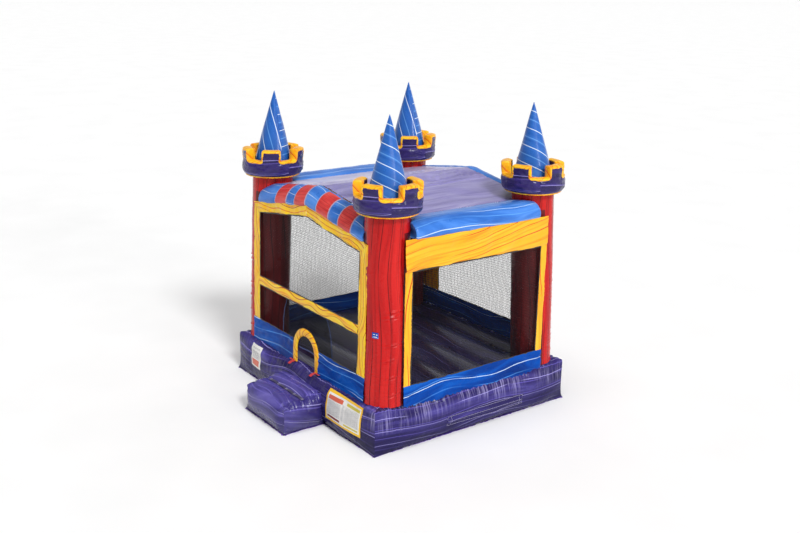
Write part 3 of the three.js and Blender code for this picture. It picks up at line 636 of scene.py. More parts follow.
def floor_relief(x, y):
    """How far the top is drawn down along the baffles and behind its edge, in metres."""
    off_baffle = np.abs(np.sin(math.pi * y / BAFFLE_PITCH))
    calm = (1 - smooth(np.abs(x), 1.55, 1.86)) * (1 - 0.75 * smooth(np.abs(y), 1.45, 1.62))
    for side_x, side_y, _ in TOWERS.values():
        calm = calm * smooth(np.hypot(x - side_x * TOWER_X, y - side_y * TOWER_Y), 0.33, 0.50)
    ledge = 0.0
    for face, (out_x, out_y) in FACES.items():
        along, out = y * out_x - x * out_y, out_x * x + out_y * y - (BASE_X if out_x else BASE_Y)
        ledge = ledge + 0.012 * gathers(along, BASE_PLEATS, FACE_SEEDS[face]) * np.exp((out + 0.13) / 0.05)
    pleats = gathers(x + 0.15 * y, 0.14, 5) * np.exp(-4 * off_baffle)
    return -(0.085 * (1 - off_baffle**0.75) + 0.008 * pleats) * calm - np.clip(ledge, 0, 0.014)


def cushion_side(half_along, half_out, section, corner, count, relief, rows=44):
    """One side of a cushion as (along, out, up), from the ground seam to the top, and each point's depth."""
    full, tight = curve(section, rows), curve(corner, rows)
    bunched = 0.82 * math.pi / 2  # The points stand closer together toward the corners.
    s = np.sin(np.linspace(-1, 1, count) * bunched) / math.sin(bunched)
    rise = smooth(np.linspace(0, 1, rows), 0.5, 0.8)
    share = (1 - np.abs(s)[:, None] ** (5 - 2.8 * rise))[..., None]
    profile = tight + (full - tight) * share
    slope = unit(np.gradient(profile, axis=1))
    normal = joined(slope[..., 1], -slope[..., 0])
    along = s[:, None] * (half_along + tight[:, 0])
    ends = (1 - s**10)[:, None] * np.sin(np.linspace(0, math.pi, rows)) ** 0.35
    depth = lengths(profile, 1)
    lift = relief(along, profile[..., 1], depth[:, -1:] - depth, half_along) * ends
    profile = profile + normal * lift[..., None]
    return joined(along, half_out + profile[..., 0], profile[..., 1]), depth


def base_relief(face):
    """Pleats under the top seam, long swells, and creases that run out of the corners."""
    seed, deep = FACE_SEEDS[face], 0.016 if face == "front" else 0.028

    def relief(along, up, below_top, half):
        reach = 0.21 + 0.12 * ripple(along[..., None], 0.7, seed)
        pleats = -deep * gathers(along, BASE_PLEATS, seed) * bell(below_top - 0.17, reach)
        ground = -0.010 * gathers(along, 0.13, seed + 1) * fade(up, 0.09)
        place = joined(along, up * 2.2)
        swell = 0.013 * ripple(place, 1.05, seed + 2) + 0.004 * ripple(place, 0.3, seed + 3)
        near = half - np.abs(along)
        crease = 0.009 * np.sin(up * 34 + near * 9) * fade(near, 0.16) * smooth(near, 0, 0.05)
        middle = smooth(up, 0.1, 0.3) * (1 - smooth(up, 0.3, 0.45))
        return pleats + ground + (swell + crease) * (1 - 0.4 * middle)
    return relief


def facing(grid, face, centre=(0, 0)):
    """Turns (along, out, up) into the frame for the side that faces that way."""
    out_x, out_y = FACES[face]
    along, out, up = grid[..., 0], grid[..., 1], grid[..., 2]
    return joined(centre[0] + out * out_x - along * out_y, centre[1] + out * out_y + along * out_x, up)


def cushion(name, halves, centre, section, corner, counts, relief, top_relief, materials, mend=None,
            inner=None):
    """A closed cushion: four swelling sides, a crowned top and a flat underside.

    mend changes the finished points, and inner gives the part of the top with the second material."""
    shell, tops = Shell(), {}
    height = section[-1][1]
    for number, face in enumerate(FACES):
        turned = 1 if face in ("front", "back") else -1
        grid, depth = cushion_side(*halves[::turned], section, corner, counts[::turned][0], relief(face))
        tops[face] = grid[:, -1]
        points = facing(grid, face, centre)
        drawn = top_relief(points[..., 0] - centre[0], points[..., 1] - centre[1])
        points[..., 2] += drawn * smooth(grid[..., 2], 0.75 * height, height)
        uv = joined(grid[..., 0] + 5.3 * number, depth)
        underside = np.zeros_like(points[:, :1]) + [*centre, 0.0]
        shell.grid(np.concatenate([underside, points], 1), np.concatenate([uv[:, :1], uv], 1))
    x, y = np.meshgrid(tops["front"][:, 0], tops["right"][:, 0], indexing="ij")
    shell.grid(joined(centre[0] + x, centre[1] + y, height + top_relief(x, y)), joined(x, y + 9.1))
    # The top inside the walls takes the second material, a darker copy: painted shade.
    if inner is not None:
        shaded_floor = (np.abs(x[:-1, :-1]) < inner[0]) & (np.abs(y[:-1, :-1]) < inner[1])
        shell.looks[-1] = shaded_floor.ravel().astype(int)
    if mend is not None:
        shell.points = [mend(points) for points in shell.points]
    return shell.build(name, *materials)


def make_base():
    base = cushion("base_cushion", (BASE_X, BASE_Y), (0, 0), SIDE_SECTION, CORNER_SECTION, (210, 196),
                   base_relief, floor_relief, [LOOK["purple"], LOOK["floor"]], inner=SHADED_FLOOR)
    settle(base, "purple_vinyl", "base_skin", fill=0.9)
    corners = [(-BASE_X, -BASE_Y), (BASE_X, -BASE_Y), (BASE_X, BASE_Y), (-BASE_X, BASE_Y), (-BASE_X, -BASE_Y)]
    make_flange("base_flange", corners, 0.018)
    return base


def make_flange(name, corners, flare):
    """The seam allowance along the ground, wavy and a little ragged. It flares at the corners."""
    shell = Shell()
    random = np.random.default_rng(len(name))
    for (x0, y0), (x1, y1) in zip(corners[:-1], corners[1:]):
        length = math.hypot(x1 - x0, y1 - y0)
        count = int(length / 0.014)
        t = np.linspace(0, 1, count)
        way, out = np.array([x1 - x0, y1 - y0]) / length, np.array([y1 - y0, x0 - x1]) / length
        line = np.outer(1 - t, [x0, y0]) + np.outer(t, [x1, y1])
        corner = flare * fade(np.minimum(t, 1 - t) * length, 0.05)
        ragged = 0.019 + 0.003 * random.standard_normal(count) + 0.004 * ripple(line, 0.22, 3)
        wave = np.clip(0.007 + 0.005 * ripple(line, 0.13, 4), 0.003, 0.016)
        inner = line + np.outer(corner - 0.012, out)
        outer = line + np.outer(corner + ragged, out) + np.outer(np.where(t < 0.5, -0.6, 0.6) * corner, way)
        front = np.stack([np.column_stack([inner, np.full(count, 0.006)]), np.column_stack([outer, wave])], 1)
        shell.slab(front, front - [0, 0, 0.0025], joined(t[:, None] * length, [0, 0.03]))
    return settle(shell.build(name, LOOK["flange"]), "purple_vinyl")


# ---- Step ----

STEP_SECTION = [(0.004, 0), (0.022, 0.05), (0.038, 0.13), (0.041, 0.21), (0.034, 0.30), (0.016, 0.368),
                (-0.020, 0.410), (-0.075, 0.425)]
STEP_CORNER = [(0.020, 0), (0.000, 0.05), (-0.012, 0.13), (-0.014, 0.22), (-0.012, 0.32), (-0.006, 0.390),
               (-0.034, 0.418), (-0.075, 0.425)]
STEP_PLEATS = 0.046


def step_relief(face):
    """Ridges that cross the top edge, creases out of the corners, and a soft swell."""
    seed, deep = FACE_SEEDS[face], 0.015 if face == "right" else 0.003

    def relief(along, up, below_top, half):
        near = half - np.abs(along)
        pleats = -deep * gathers(along, STEP_PLEATS, seed) * bell(below_top - 0.07, 0.055)
        crease = 0.005 * np.sin(up * 40 + near * 16) * fade(near, 0.09)
        ground = -0.006 * gathers(along, 0.10, seed + 1) * fade(up, 0.05)
        return pleats + crease + ground + 0.004 * ripple(joined(along, up * 1.6), 0.7, seed, 1)
    return relief


def step_crown(x, y):
    """The top swells in two rolls, with the strap drawn down between them."""
    u, v = np.clip(x / STEP_HALF_X, -1, 1), np.clip(y / STEP_HALF_Y, -1, 1)
    off_strap = y - (STRAP_Y - STEP_Y)
    drawn = bell(off_strap, 0.075) * (1 - smooth(np.abs(x), 0.46, 0.56))
    crown = 0.078 * (1 - np.abs(u) ** 3.5) * (1 - np.abs(v) ** 2.6) * (1 - drawn)
    side = gathers(np.where(x > 0, y, -y), STEP_PLEATS, FACE_SEEDS["right"])
    side = side * fade(STEP_HALF_X - 0.07 - np.abs(x), 0.07)
    ends = gathers(x, STEP_PLEATS, FACE_SEEDS["front"]) * fade(STEP_HALF_Y - 0.07 - np.abs(y), 0.05)
    pulled = 0.006 * gathers(x, 0.06, 8) * fade(np.abs(off_strap), 0.08) * (1 - drawn) * (1 - u**6)
    ridges = np.clip(0.016 * side * (1 - v**6) + 0.002 * ends * (1 - u**6), 0, 0.016)
    return crown - ridges - pulled - 0.006 * drawn


def step_seams(points):
    """The ground and its rim, the four upright corners, and the line that the strap draws down."""
    x, y, z = np.abs(points[:, 0] - STEP_X), np.abs(points[:, 1] - STEP_Y), points[:, 2]
    corner = bell(np.hypot(x - STEP_HALF_X, y - STEP_HALF_Y), 0.035)
    strap = bell(points[:, 1] - STRAP_Y, 0.045) * (x < 0.5) * (z > 0.35)
    return np.maximum.reduce([corner, strap, z < 0.012]) * 1.0


def step_slope(points):
    """Raises the back of the step above its front."""
    climb = (STEP_BACK_TOP / STEP_FRONT_TOP - 1) / (-BASE_Y - STEP_FRONT)
    points = points.copy()
    points[:, 2] *= 1 + climb * (points[:, 1] - STEP_FRONT)
    return points


def make_step():
    step = cushion("step_cushion", (STEP_HALF_X, STEP_HALF_Y), (STEP_X, STEP_Y), STEP_SECTION, STEP_CORNER,
                   (110, 76), step_relief, step_crown, [LOOK["step"]], step_slope)
    inflate(step, step_seams, pressure=4.0, slack=0.03, cap=0.035)
    settle(step, "purple_vinyl", "step_skin", fill=0.85)
    low, high, back = STEP_X - STEP_HALF_X, STEP_X + STEP_HALF_X, -1.83
    make_flange("step_flange", [(low, back), (low, STEP_FRONT), (high, STEP_FRONT), (high, back)], 0.014)
    make_strap()


def make_strap():
    """The climbing strap: stitched down at five feet, and standing in loops between them."""
    low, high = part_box("step_strap")
    pitch, foot, climb = 0.229, 0.044, 0.1014

    def seat(y):
        return STEP_FRONT_TOP + climb * (y - STEP_FRONT)

    x = np.linspace(low.x, high.x, 160)[:, None]
    phase = np.clip(((x - low.x) % pitch - foot) / (pitch - foot), 0, 1)
    rise = 0.009 * np.sin(math.pi * phase) ** 1.3
    across = np.linspace(-0.022, 0.022, 7)
    curl = 0.0015 * np.cos(across / 0.022 * math.pi / 2)
    y = STRAP_Y + across + 0.0015 * np.sin(9 * x)
    front = joined(x, y, seat(y) + rise + curl + 0.002)
    strap = Shell().slab(front, front - [0, 0, 0.0035], joined(x, y))
    settle(strap.build("step_strap_webbing", LOOK["web"]), "webbing", "step_strap")
    stitches = Shell()
    for foot_x in low.x + foot / 2 + pitch * np.arange(5):
        for bar_x in (foot_x - 0.012, foot_x + 0.012):
            x, y = bar_x + np.linspace(-0.0022, 0.0022, 3)[:, None], STRAP_Y + np.linspace(-0.019, 0.019, 9)
            top = joined(x, y, seat(y) + 0.0055 + 0.001 * np.cos((x - bar_x) * 700))
            stitches.slab(top, top - [0, 0, 0.0025], joined(x, y))
    settle(stitches.build("step_strap_stitches", LOOK["thread"]), "webbing")


# ---- Towers ----


def stand(points, tower):
    """Leans a tower piece inwards on its corner of the base. Heights in it are above the base."""
    side_x, side_y, _ = TOWERS[tower]
    x, y, h = points[..., 0], points[..., 1], points[..., 2]
    return joined(x + side_x * (TOWER_X - LEAN * h), y + side_y * (TOWER_Y - LEAN * h), h + BASE_TOP)


def round_piece(radius, height, angle):
    return joined(radius * np.cos(angle), radius * np.sin(angle), height)


FOLD_LEVELS = (1.36, 1.29, 0.89, 0.67, 0.42, 0.17)
# Below this height the column faces inside get the darker red: painted shade.
INSIDE_SHADE_TOP = 2.42


def column_folds(tower, random):
    """A column's folds as middle angle, height, width, tilt and depth: at the corner, and fine ones around."""
    side_x, side_y, _ = TOWERS[tower]
    corner = math.atan2(side_y, side_x) + 0.42
    folds = [(corner + random.uniform(-0.15, 0.15), level, 0.34, 0.05, 0.011) for level in FOLD_LEVELS]
    ranges = ((0, FULL_TURN), (0.08, 1.5), (0.3, 0.9), (-0.04, 0.04), (0.0015, 0.004))
    return folds + [tuple(random.uniform(*ends) for ends in ranges) for _ in range(30)]


def make_column(tower, seed, drape):
    """A column: gathered under the crown and at its foot, with sagging creases in between."""
    angle = np.linspace(0, FULL_TURN, 101)[:, None]
    height = np.concatenate([np.linspace(0, 1.55, 190)[:-1], np.linspace(1.55, CROWN_BOTTOM - 0.001, 50)])
    to_top = CROWN_BOTTOM - height
    gathered = np.cos(27 * angle + 1.4 * np.sin(4 * angle + seed)) * 0.5 + 0.5
    foot = np.cos(33 * angle + 1.7 * np.sin(3 * angle + seed)) * 0.5 + 0.5
    radius = TOWER_R + (TOWER_TOP_R - TOWER_R) * height / CROWN_BOTTOM
    radius = radius - 0.009 * gathered * fade(to_top, 0.09) - 0.006 * fade(to_top, 0.05)
    radius = radius + 0.010 * fade(height, 0.022) - 0.006 * foot * fade(height, 0.07)
    random = np.random.default_rng(seed)
    for middle, level, width, tilt, depth in column_folds(tower, random):
        turn = (angle - middle + math.pi) % FULL_TURN - math.pi
        off = (height - level - tilt * turn) / random.uniform(0.011, 0.016)
        radius = radius + depth * bell(turn, width) * (bell(off, 1) - 0.8 * bell(off + 1.9, 1))
    round_place = round_piece(1, height, angle)
    radius = radius + 0.003 * ripple(round_place * [1, 1, 0.8], 0.9, seed)
    radius = radius + 0.0012 * ripple(round_place * [1, 1, 3], 0.4, seed + 1)
    points = round_piece(radius, height, angle)
    ground = stand(points[:, 0], tower)
    sunk = np.array([drape.height(x, y) for x, y, _ in ground]) - ground[:, 2] + 0.002
    sunk = np.convolve(np.concatenate([sunk[-9:-1], sunk, sunk[1:9]]), np.ones(17) / 17, "valid")
    points[..., 2] += np.clip(sunk, -0.024, 0.01)[:, None] * fade(height, 0.05)
    shell = Shell().grid(stand(points, tower), joined(height, TOWER_R * angle))
    side_x, side_y, _ = TOWERS[tower]
    # Quads turned into the castle, below the set height, take the darker red: painted shade.
    facing_in = (side_x * points[..., 0] <= -0.04) | (side_y * points[..., 1] <= -0.04)
    shell.looks[0] = (facing_in & (height < INSIDE_SHADE_TOP))[:-1, :-1].ravel().astype(int)
    for end in (0, -1):
        disc = np.stack([points[:, end], points[:, end] * [0, 0, 1]], 1)
        shell.grid(stand(disc, tower), disc[..., :2])
    column = shell.build(f"column_cloth_{tower}", LOOK["red"], LOOK["red_in_shade"])
    return settle(column, "red_vinyl", f"column_{tower}", fill=0.95)


def crenel_line():
    """One crenel and one merlon as a smooth line of (along, height), and the pitch at which it repeats."""
    top, low, r = CROWN_HEIGHT, CRENEL_FLOOR, 0.026
    quarter = FULL_TURN * 0.463 / MERLONS / 4

    def run(count, end=1.0):
        return np.linspace(0, end, count, endpoint=False)

    inner, outer = run(7, math.pi / 2), run(6, math.pi / 2)
    half = np.concatenate([
        joined(run(12) * (quarter - r), low),
        joined(quarter - r + r * np.sin(inner), low + r * (1 - np.cos(inner))),
        joined(quarter, low + r + run(10) * (top - low - 1.5 * r)),
        joined(quarter + 0.5 * r * (1 - np.cos(outer)), top - 0.5 * r * (1 - np.sin(outer))),
        joined(quarter + 0.5 * r + np.linspace(0, 1, 13) * (quarter - 0.5 * r), top),
    ])
    mirrored = half[::-1][1:] * [-1, 1] + [4 * quarter, 0]
    return np.concatenate([half, mirrored])[:-1], 4 * quarter


CROWN_SECTION = [(0.422, 0.0), (0.452, 0.018), (0.469, 0.06), (0.476, 0.12), (0.474, 0.18),
                 (0.466, 0.225), (0.470, 0.28), (0.475, 0.33), (0.472, 0.38), (0.466, 0.407)]


class Crown:
    """The crown's ring: puffed purple walls, and a yellow strip that laps over every edge of the crenels."""

    def __init__(self, tower, seed):
        self.tower, self.seed, self.start = tower, seed, math.radians(TOWERS[tower][2])
        piece, pitch = crenel_line()
        rounds = [piece + [number * pitch, 0] for number in range(MERLONS)]
        self.length = MERLONS * pitch
        self.line = np.concatenate(rounds + [[[self.length, CRENEL_FLOOR]]])
        tangent = np.gradient(self.line, axis=0)
        tangent[0] = tangent[-1] = (1, 0)
        tangent = unit(tangent)
        self.inward = joined(tangent[:, 1], -tangent[:, 0])
        self.run = lengths(self.line, 0)
        self.lip = 0.029 + 0.003 * ripple(self.run[:, None], 0.16, seed)
        self.skin = curve(CROWN_SECTION, 200)

    def angle(self, along):
        return self.start + along * FULL_TURN / self.length

    def on_wall(self, flat, lift=0.0, inner=0.0):
        """Points (along, height) lifted off the outer wall, or that share of the way to the inner wall."""
        radius = np.interp(flat[:, 1], self.skin[:, 1], self.skin[:, 0]) + lift
        radius = radius + (CROWN_IN - radius) * inner
        return round_piece(radius, flat[:, 1] + CROWN_BOTTOM, self.angle(flat[:, 0]))

    def add(self, shell, rows, uv):
        shell.grid(stand(rows, self.tower), uv)

    def make_lining(self):
        """The lining over every edge of the teeth, and the ragged trim under the crown."""
        fold = ((1.0, -0.005), (0.97, 0.003), (0.75, 0.0075), (0.45, 0.0095), (0.15, 0.008), (0.0, 0.003))
        lip = self.inward * self.lip[:, None]
        rows = [self.on_wall(self.line + lip * share, lift) for share, lift in fold]
        puff = 0.4 * (0.005 * gathers(self.run, 0.07, self.seed) + 0.004)
        for inner in (0.12, 0.3, 0.5, 0.7, 0.88, 1.0):
            arch = math.sin(math.pi * inner)
            raised = 0.014 * arch**0.7 + puff * arch
            rows.append(self.on_wall(self.line - self.inward * raised[:, None], 0.0, inner))
        rows.append(self.on_wall(self.line + self.inward * 0.012, -0.010, 1.0))
        strip = np.stack(rows, 1)
        along, across = self.run[:, None], lengths(strip, 1)
        lining = Shell()
        self.add(lining, strip, joined(0.5 * along + across, 0.8 * along - 0.6 * across))
        angle = np.linspace(0, FULL_TURN, 181)
        ragged = 0.010 + 0.005 * np.random.default_rng(self.seed).uniform(0, 1, 181)
        ragged[-1] = ragged[0]
        hang = ((0.426, 0.006, 0), (0.430, 0, 0.5), (0.428, 0, 1), (0.420, 0, 0.3), (0.410, 0.006, 0))
        rim = np.stack([round_piece(r, CROWN_BOTTOM + high - low * ragged, angle) for r, high, low in hang], 1)
        self.add(lining, rim, joined(angle[:, None] * 0.43, lengths(rim, 1)))
        cloth = lining.build(f"crown_trim_{self.tower}", LOOK["lining"])
        settle(cloth, "yellow_vinyl", f"crown_lining_{self.tower}")

    def make_walls(self):
        """The outer wall from the bottom seam to the lip, the inner wall, and the floor between the walls."""
        line, seed = self.line, self.seed
        share = np.linspace(0, 1, 26)
        edge = line + self.inward * (self.lip * 0.93)[:, None]
        base = joined(0.5 * np.linspace(0, self.length, len(line)) + 0.5 * edge[:, 0], 0.0)
        flat = base[:, None] + (edge - base)[:, None] * (share**0.9)[:, None]
        fold = ripple(flat * [1, 3.0], 0.34, seed + 4) * 0.006
        fold = fold + ripple(flat * [1, 2.0], 0.11, seed + 5) * 0.0025
        corner = fade(np.abs(flat[..., 1] - CRENEL_FLOOR + 0.03), 0.05)
        corner = corner * gathers(flat[..., 0], 0.05, seed + 6)
        lift = (fold - 0.004 * corner) * np.clip(np.minimum(share, 1 - share) * 8, 0, 1)
        outer = [round_piece(0.300, CROWN_BOTTOM + 0.004, self.angle(base[:, 0]))]
        outer += [self.on_wall(flat[:, row], lift[:, row]) for row in range(len(share))]
        walls = Shell()
        self.add(walls, np.stack(outer, 1), np.concatenate([flat[:, :1] - [0, 0.12], flat], 1))
        inner, angles = [], self.angle(line[:, 0])
        for down in np.linspace(0, 1, 8):
            level = joined(line[:, 0], (line[:, 1] - 0.003) * (1 - down) + 0.016 * down)
            slack = round_piece(0.006 * math.sin(math.pi * down), 0, angles)
            inner.append(self.on_wall(level, 0.0, 1.0) + slack)
        inner = np.stack(inner, 1)
        self.add(walls, inner, joined(line[:, :1] + 4, inner[..., 2]))
        floor = np.stack([inner[:, -1], round_piece(0.20, CROWN_BOTTOM + 0.016, angles)], 1)
        self.add(walls, floor, floor[..., :2])
        cloth = walls.build(f"crown_cloth_{self.tower}", LOOK["crown"])
        settle(cloth, "purple_vinyl", f"crown_wall_{self.tower}", fill=0.9)


# Where each turret's seam is, and how far its print is turned on the flat cloth, in degrees.
SEAM_TURN = {"left_front": (2.0, 8.0), "left_back": (2.0, 8.0), "right_front": (134.0, 22.0),
             "right_back": (134.0, 22.0)}
CONE_SECTION = [(0.255, 0.018), (0.288, 0.07), (0.292, 0.13), (0.281, 0.235), (0.243, 0.40), (0.197, 0.58),
                (0.148, 0.77), (0.097, 0.96), (0.050, 1.13), (0.018, 1.245), (0.007, 1.283), (0.0, 1.298)]
CONE_WIDE = 0.280


def make_cone(tower, seed):
    """A pointed turret, sewn up one side from a flat fan of printed cloth."""
    slant = math.hypot(CONE_WIDE, CONE_APEX - CRENEL_FLOOR)
    radius, height = curve(CONE_SECTION, 90).T
    height = height + CROWN_BOTTOM
    turn = np.linspace(0, FULL_TURN, 97)[:, None]
    seam_at, grain = (math.radians(a) for a in SEAM_TURN[tower])
    angle = turn + seam_at
    wide = np.clip(radius / 0.05, 0, 1)
    fold = ripple(joined(np.cos(angle), np.sin(angle), height * 1.5), 1.3, seed)
    seam = np.minimum(turn, FULL_TURN - turn)
    radius = radius + 0.0035 * fold * wide + 0.005 * bell(seam * radius, 0.007) * wide
    radius = radius - 0.005 * np.exp(-((seam * radius - 0.018) ** 2) / 0.00008) * wide
    points = round_piece(radius, height, angle)
    far = (CONE_APEX + CROWN_BOTTOM - height) * slant / (CONE_APEX - CRENEL_FLOOR)
    fan = (FULL_TURN - turn) * CONE_WIDE / slant + grain
    shell = Shell().grid(stand(points, tower), joined(far * np.cos(fan), far * np.sin(fan)))
    disc = np.stack([points[:, 0], points[:, 0] * [0, 0, 1]], 1)
    shell.grid(stand(disc, tower), disc[..., :2])
    cloth = shell.build(f"turret_cloth_{tower}", LOOK["cone"])
    return settle(cloth, "cone_vinyl", f"turret_cone_{tower}", fill=0.95)


# ---- Walls ----

WALL_TURNS = {"front": 0, "right": math.pi / 2, "back": math.pi, "left": -math.pi / 2}


def on_wall(wall, x, h, out):
    """A point of a wall: x to the right seen from outside, h above the base, out from its inner face."""
    distance = (WALL_Y - WALL_LEAN * h if wall in ("front", "back") else SIDE_X) + out
    cos, sin = math.cos(WALL_TURNS[wall]), math.sin(WALL_TURNS[wall])
    return joined(x * cos + distance * sin, x * sin - distance * cos, h + BASE_TOP)


def wall_relief(x, h, seed, depth=0.006):
    place = joined(x, h)
    slanted = place @ np.array([[0.8, 0.6], [-1.2, 1.6]])
    return depth * ripple(place, 0.55, seed) + 0.35 * depth * ripple(slanted, 0.16, seed + 1)


def panel(shell, wall, corners, seed, pitch=0.022, puff=0.003, depth=0.005, pleat=0.0, slant=0.0):
    """A sewn strip between four corners (x, h): its ends are corners 0-1 and 3-2. slant tilts its print."""
    a, b, c, d = (np.array(corner, float) for corner in corners)
    length = max(np.linalg.norm(d - a), np.linalg.norm(c - b))
    width = max(np.linalg.norm(b - a), np.linalg.norm(c - d))
    rows, columns = max(3, int(length / pitch) + 1), max(7, int(width / pitch) + 1)
    u, v = np.linspace(0, 1, rows)[:, None, None], np.linspace(0, 1, columns)[None, :, None]
    flat = (a * (1 - v) + b * v) * (1 - u) + (d * (1 - v) + c * v) * u
    x, h, u, v = flat[..., 0], flat[..., 1], u[..., 0], v[..., 0]
    edge = np.minimum(v, 1 - v) * width
    lift = wall_relief(x, h, seed, depth) + puff * np.clip(edge / 0.03, 0, 1) ** 0.5
    lift = lift + 0.0018 * bell(edge - 0.012, 0.005)
    lift = lift + pleat * gathers(u * length + 0.3 * edge, 0.07, seed) * fade(edge, 0.05)
    uv = joined(u * length + seed * 1.37, v * width + slant * length * u + seed * 0.71)
    return shell.slab(on_wall(wall, x, h, 0.0045 + lift), on_wall(wall, x, h, 0.001 + lift), uv)


def gable_at(x, half):
    """The height of a window's gabled top edge."""
    return WINDOW_CORNER + (WINDOW_PEAK - WINDOW_CORNER) * (1 - abs(x) / half)


def make_gabled_frame(wall, window, band, seed, pleat, gable_pitch):
    """The two legs and the two slopes of a frame with a peak."""
    shell = Shell()
    for number, side in enumerate((-1, 1)):
        outer, inner = side * FRONT_HALF, side * window
        panel(shell, wall, [(outer, band), (inner, band), (inner, WINDOW_CORNER), (outer, FRONT_CORNER)],
              seed + number, pleat=0.003)
        panel(shell, wall, [(outer, FRONT_CORNER), (inner, WINDOW_CORNER), (0, WINDOW_PEAK), (0, FRONT_PEAK)],
              seed + 2 + number, depth=0.009, pleat=pleat, pitch=gable_pitch)
    return shell


def rail_corners(left, right, top, bottom):
    return [(left, top), (left, bottom), (right, bottom), (right, top)]


def make_frames():
    front = make_gabled_frame("front", WINDOW_HALF, FRONT_BAND + 0.0003, 21, 0.006, 0.016)
    panel(front, "front", rail_corners(-WINDOW_HALF, WINDOW_HALF, RAIL_TOP, RAIL_BOTTOM), 27, puff=0.010,
          pleat=0.003, pitch=0.018)
    # The front frame takes the brighter yellow: painted light.
    settle(front.build("front_frame_cloth", LOOK["yellow_front_lit"]), "yellow_vinyl", "front_frame")
    back = make_gabled_frame("back", BACK_WINDOW, BACK_BAND, 31, 0.005, 0.022)
    settle(back.build("back_frame_cloth", LOOK["yellow"]), "yellow_vinyl", "back_frame")
    for wall, seed in (("right", 41), ("left", 47)):
        shell = Shell()
        for number, side in enumerate((-1, 1)):
            outer, inner = side * SIDE_HALF, side * SIDE_WINDOW
            corners = [(outer, SIDE_BAND), (inner, SIDE_BAND), (inner, HEADER_BOTTOM), (outer, HEADER_BOTTOM)]
            panel(shell, wall, corners, seed + number, pleat=0.004, pitch=0.016)
        header = rail_corners(-SIDE_HALF, SIDE_HALF, HEADER_TOP, HEADER_BOTTOM)
        panel(shell, wall, header, seed + 2, puff=0.012, depth=0.010, pleat=0.003, slant=0.16)
        settle(shell.build(f"{wall}_frame_cloth", LOOK["yellow"]), "yellow_vinyl", f"{wall}_frame")


def make_band(name, wall, low_x, high_x, top, seed, drape):
    """A blue band: creased on the slant, its lower hem tucked against the base."""
    x = np.linspace(low_x, high_x, int((high_x - low_x) / 0.016))[:, None]
    v = np.linspace(0, 1, 26)
    foot = on_wall(wall, x[:, 0], 0, 0.004)
    ground = np.array([drape.height(foot_x, foot_y) for foot_x, foot_y, _ in foot]) - BASE_TOP
    droop = np.minimum(ground, 0)[:, None] - 0.006 + 0.004 * ripple(x[..., None], 0.35, seed)
    h = droop + (top - droop) * v
    place = joined(x, h)
    slant = np.sin((x * 0.62 - h * 1.15) * FULL_TURN / 0.19 + 2.2 * ripple(place, 0.6, seed))
    where = 0.5 + 0.5 * ripple(place, 0.5, seed + 2)
    ends = 1 - smooth(np.minimum(x - low_x, high_x - x), 0.0, 0.35)
    lift = 0.007 * slant * where * (0.5 + 0.8 * ends) * np.sin(math.pi * np.clip(v, 0.02, 0.98)) ** 0.5
    lift = lift + 0.008 * np.sin(math.pi * v) ** 0.6 + wall_relief(x, h, seed, 0.004) + 0.010 * (1 - v) ** 4
    uv = joined(x + seed, h + 0.37 * seed)
    shell = Shell().slab(on_wall(wall, x, h, 0.0055 + lift), on_wall(wall, x, h, 0.002 + lift), uv)
    return settle(shell.build(name + "_cloth", LOOK["blue"]), "blue_vinyl", name)


def make_bands(drape):
    gap = DOOR_OUT + 0.0003
    for name, low_x, high_x, top, seed in (
        ("band_front_left", -FRONT_HALF, DOOR_X - gap, FRONT_BAND, 51),
        ("band_front_right", DOOR_X + gap, FRONT_HALF, FRONT_BAND, 52),
        ("band_back", -FRONT_HALF, FRONT_HALF, BACK_BAND, 53),
        ("band_left", -SIDE_HALF, SIDE_HALF, SIDE_BAND, 54),
        ("band_right", -SIDE_HALF, SIDE_HALF, SIDE_BAND, 55),
    ):
        make_band(name, name.split("_")[1], low_x, high_x, top, seed, drape)


def net_sheet(name, half, low, high, seed):
    """A net stretched in a window, and the dark tape sewn round it. low and high give its edge by x."""
    wall, hem = name.split("_")[1], 0.015
    x = np.linspace(-half, half, int(2 * half / 0.05) + 1)
    x = np.unique(np.append(x, 0.0))[:, None]
    low_h, high_h = (np.array([edge(k) for k in x[:, 0]])[:, None] for edge in (low, high))
    h = low_h + (high_h - low_h) * np.linspace(0, 1, 30)
    inside = np.minimum(half - np.abs(x), np.minimum(h - low_h, high_h - h))
    belly = 0.010 * ripple(joined(x, h), 1.1, seed) * np.clip(inside / 0.2, 0, 1)
    net = Shell().grid(on_wall(wall, x, h, 0.003 + belly), joined(x, h)).build(name + "_cloth", LOOK["net"])
    settle(net, "net_mesh", name)
    line = np.array([
        *((k, low(k)) for k in x[:, 0]),
        *((half, v) for v in np.linspace(low(half), high(half), 40)[1:]),
        *((k, high(k)) for k in x[-2::-1, 0]),
        *((-half, v) for v in np.linspace(high(-half), low(-half), 40)[1:]),
    ])
    tangent = ways(line, closed=True)
    inward = joined(-tangent[:, 1], tangent[:, 0])
    inner = line + inward * hem * (1 + 0.25 * ripple(line, 0.3, seed)[:, None])
    outer = line - inward * 0.004
    strip = np.stack([outer, 0.5 * (outer + inner), inner], 1)
    uv = joined(lengths(line, 0)[:, None], [0, hem / 2, hem])
    out = 0.0062 + 0.002 * ripple(strip, 0.12, seed + 1)
    faces = (on_wall(wall, strip[..., 0], strip[..., 1], far) for far in (out, out - 0.002))
    tape = settle(Shell().slab(*faces, uv).build(name + "_hem", LOOK["hem"]), "net_mesh")


def door_edge(x):
    """The lower edge of the net round the doorway."""
    band = FRONT_BAND - 0.006
    inside = (DOOR_OUT - 0.010) ** 2 - (x - DOOR_X) ** 2
    return max(band, DOOR_SPRING + math.sqrt(inside)) if inside > 0 else band


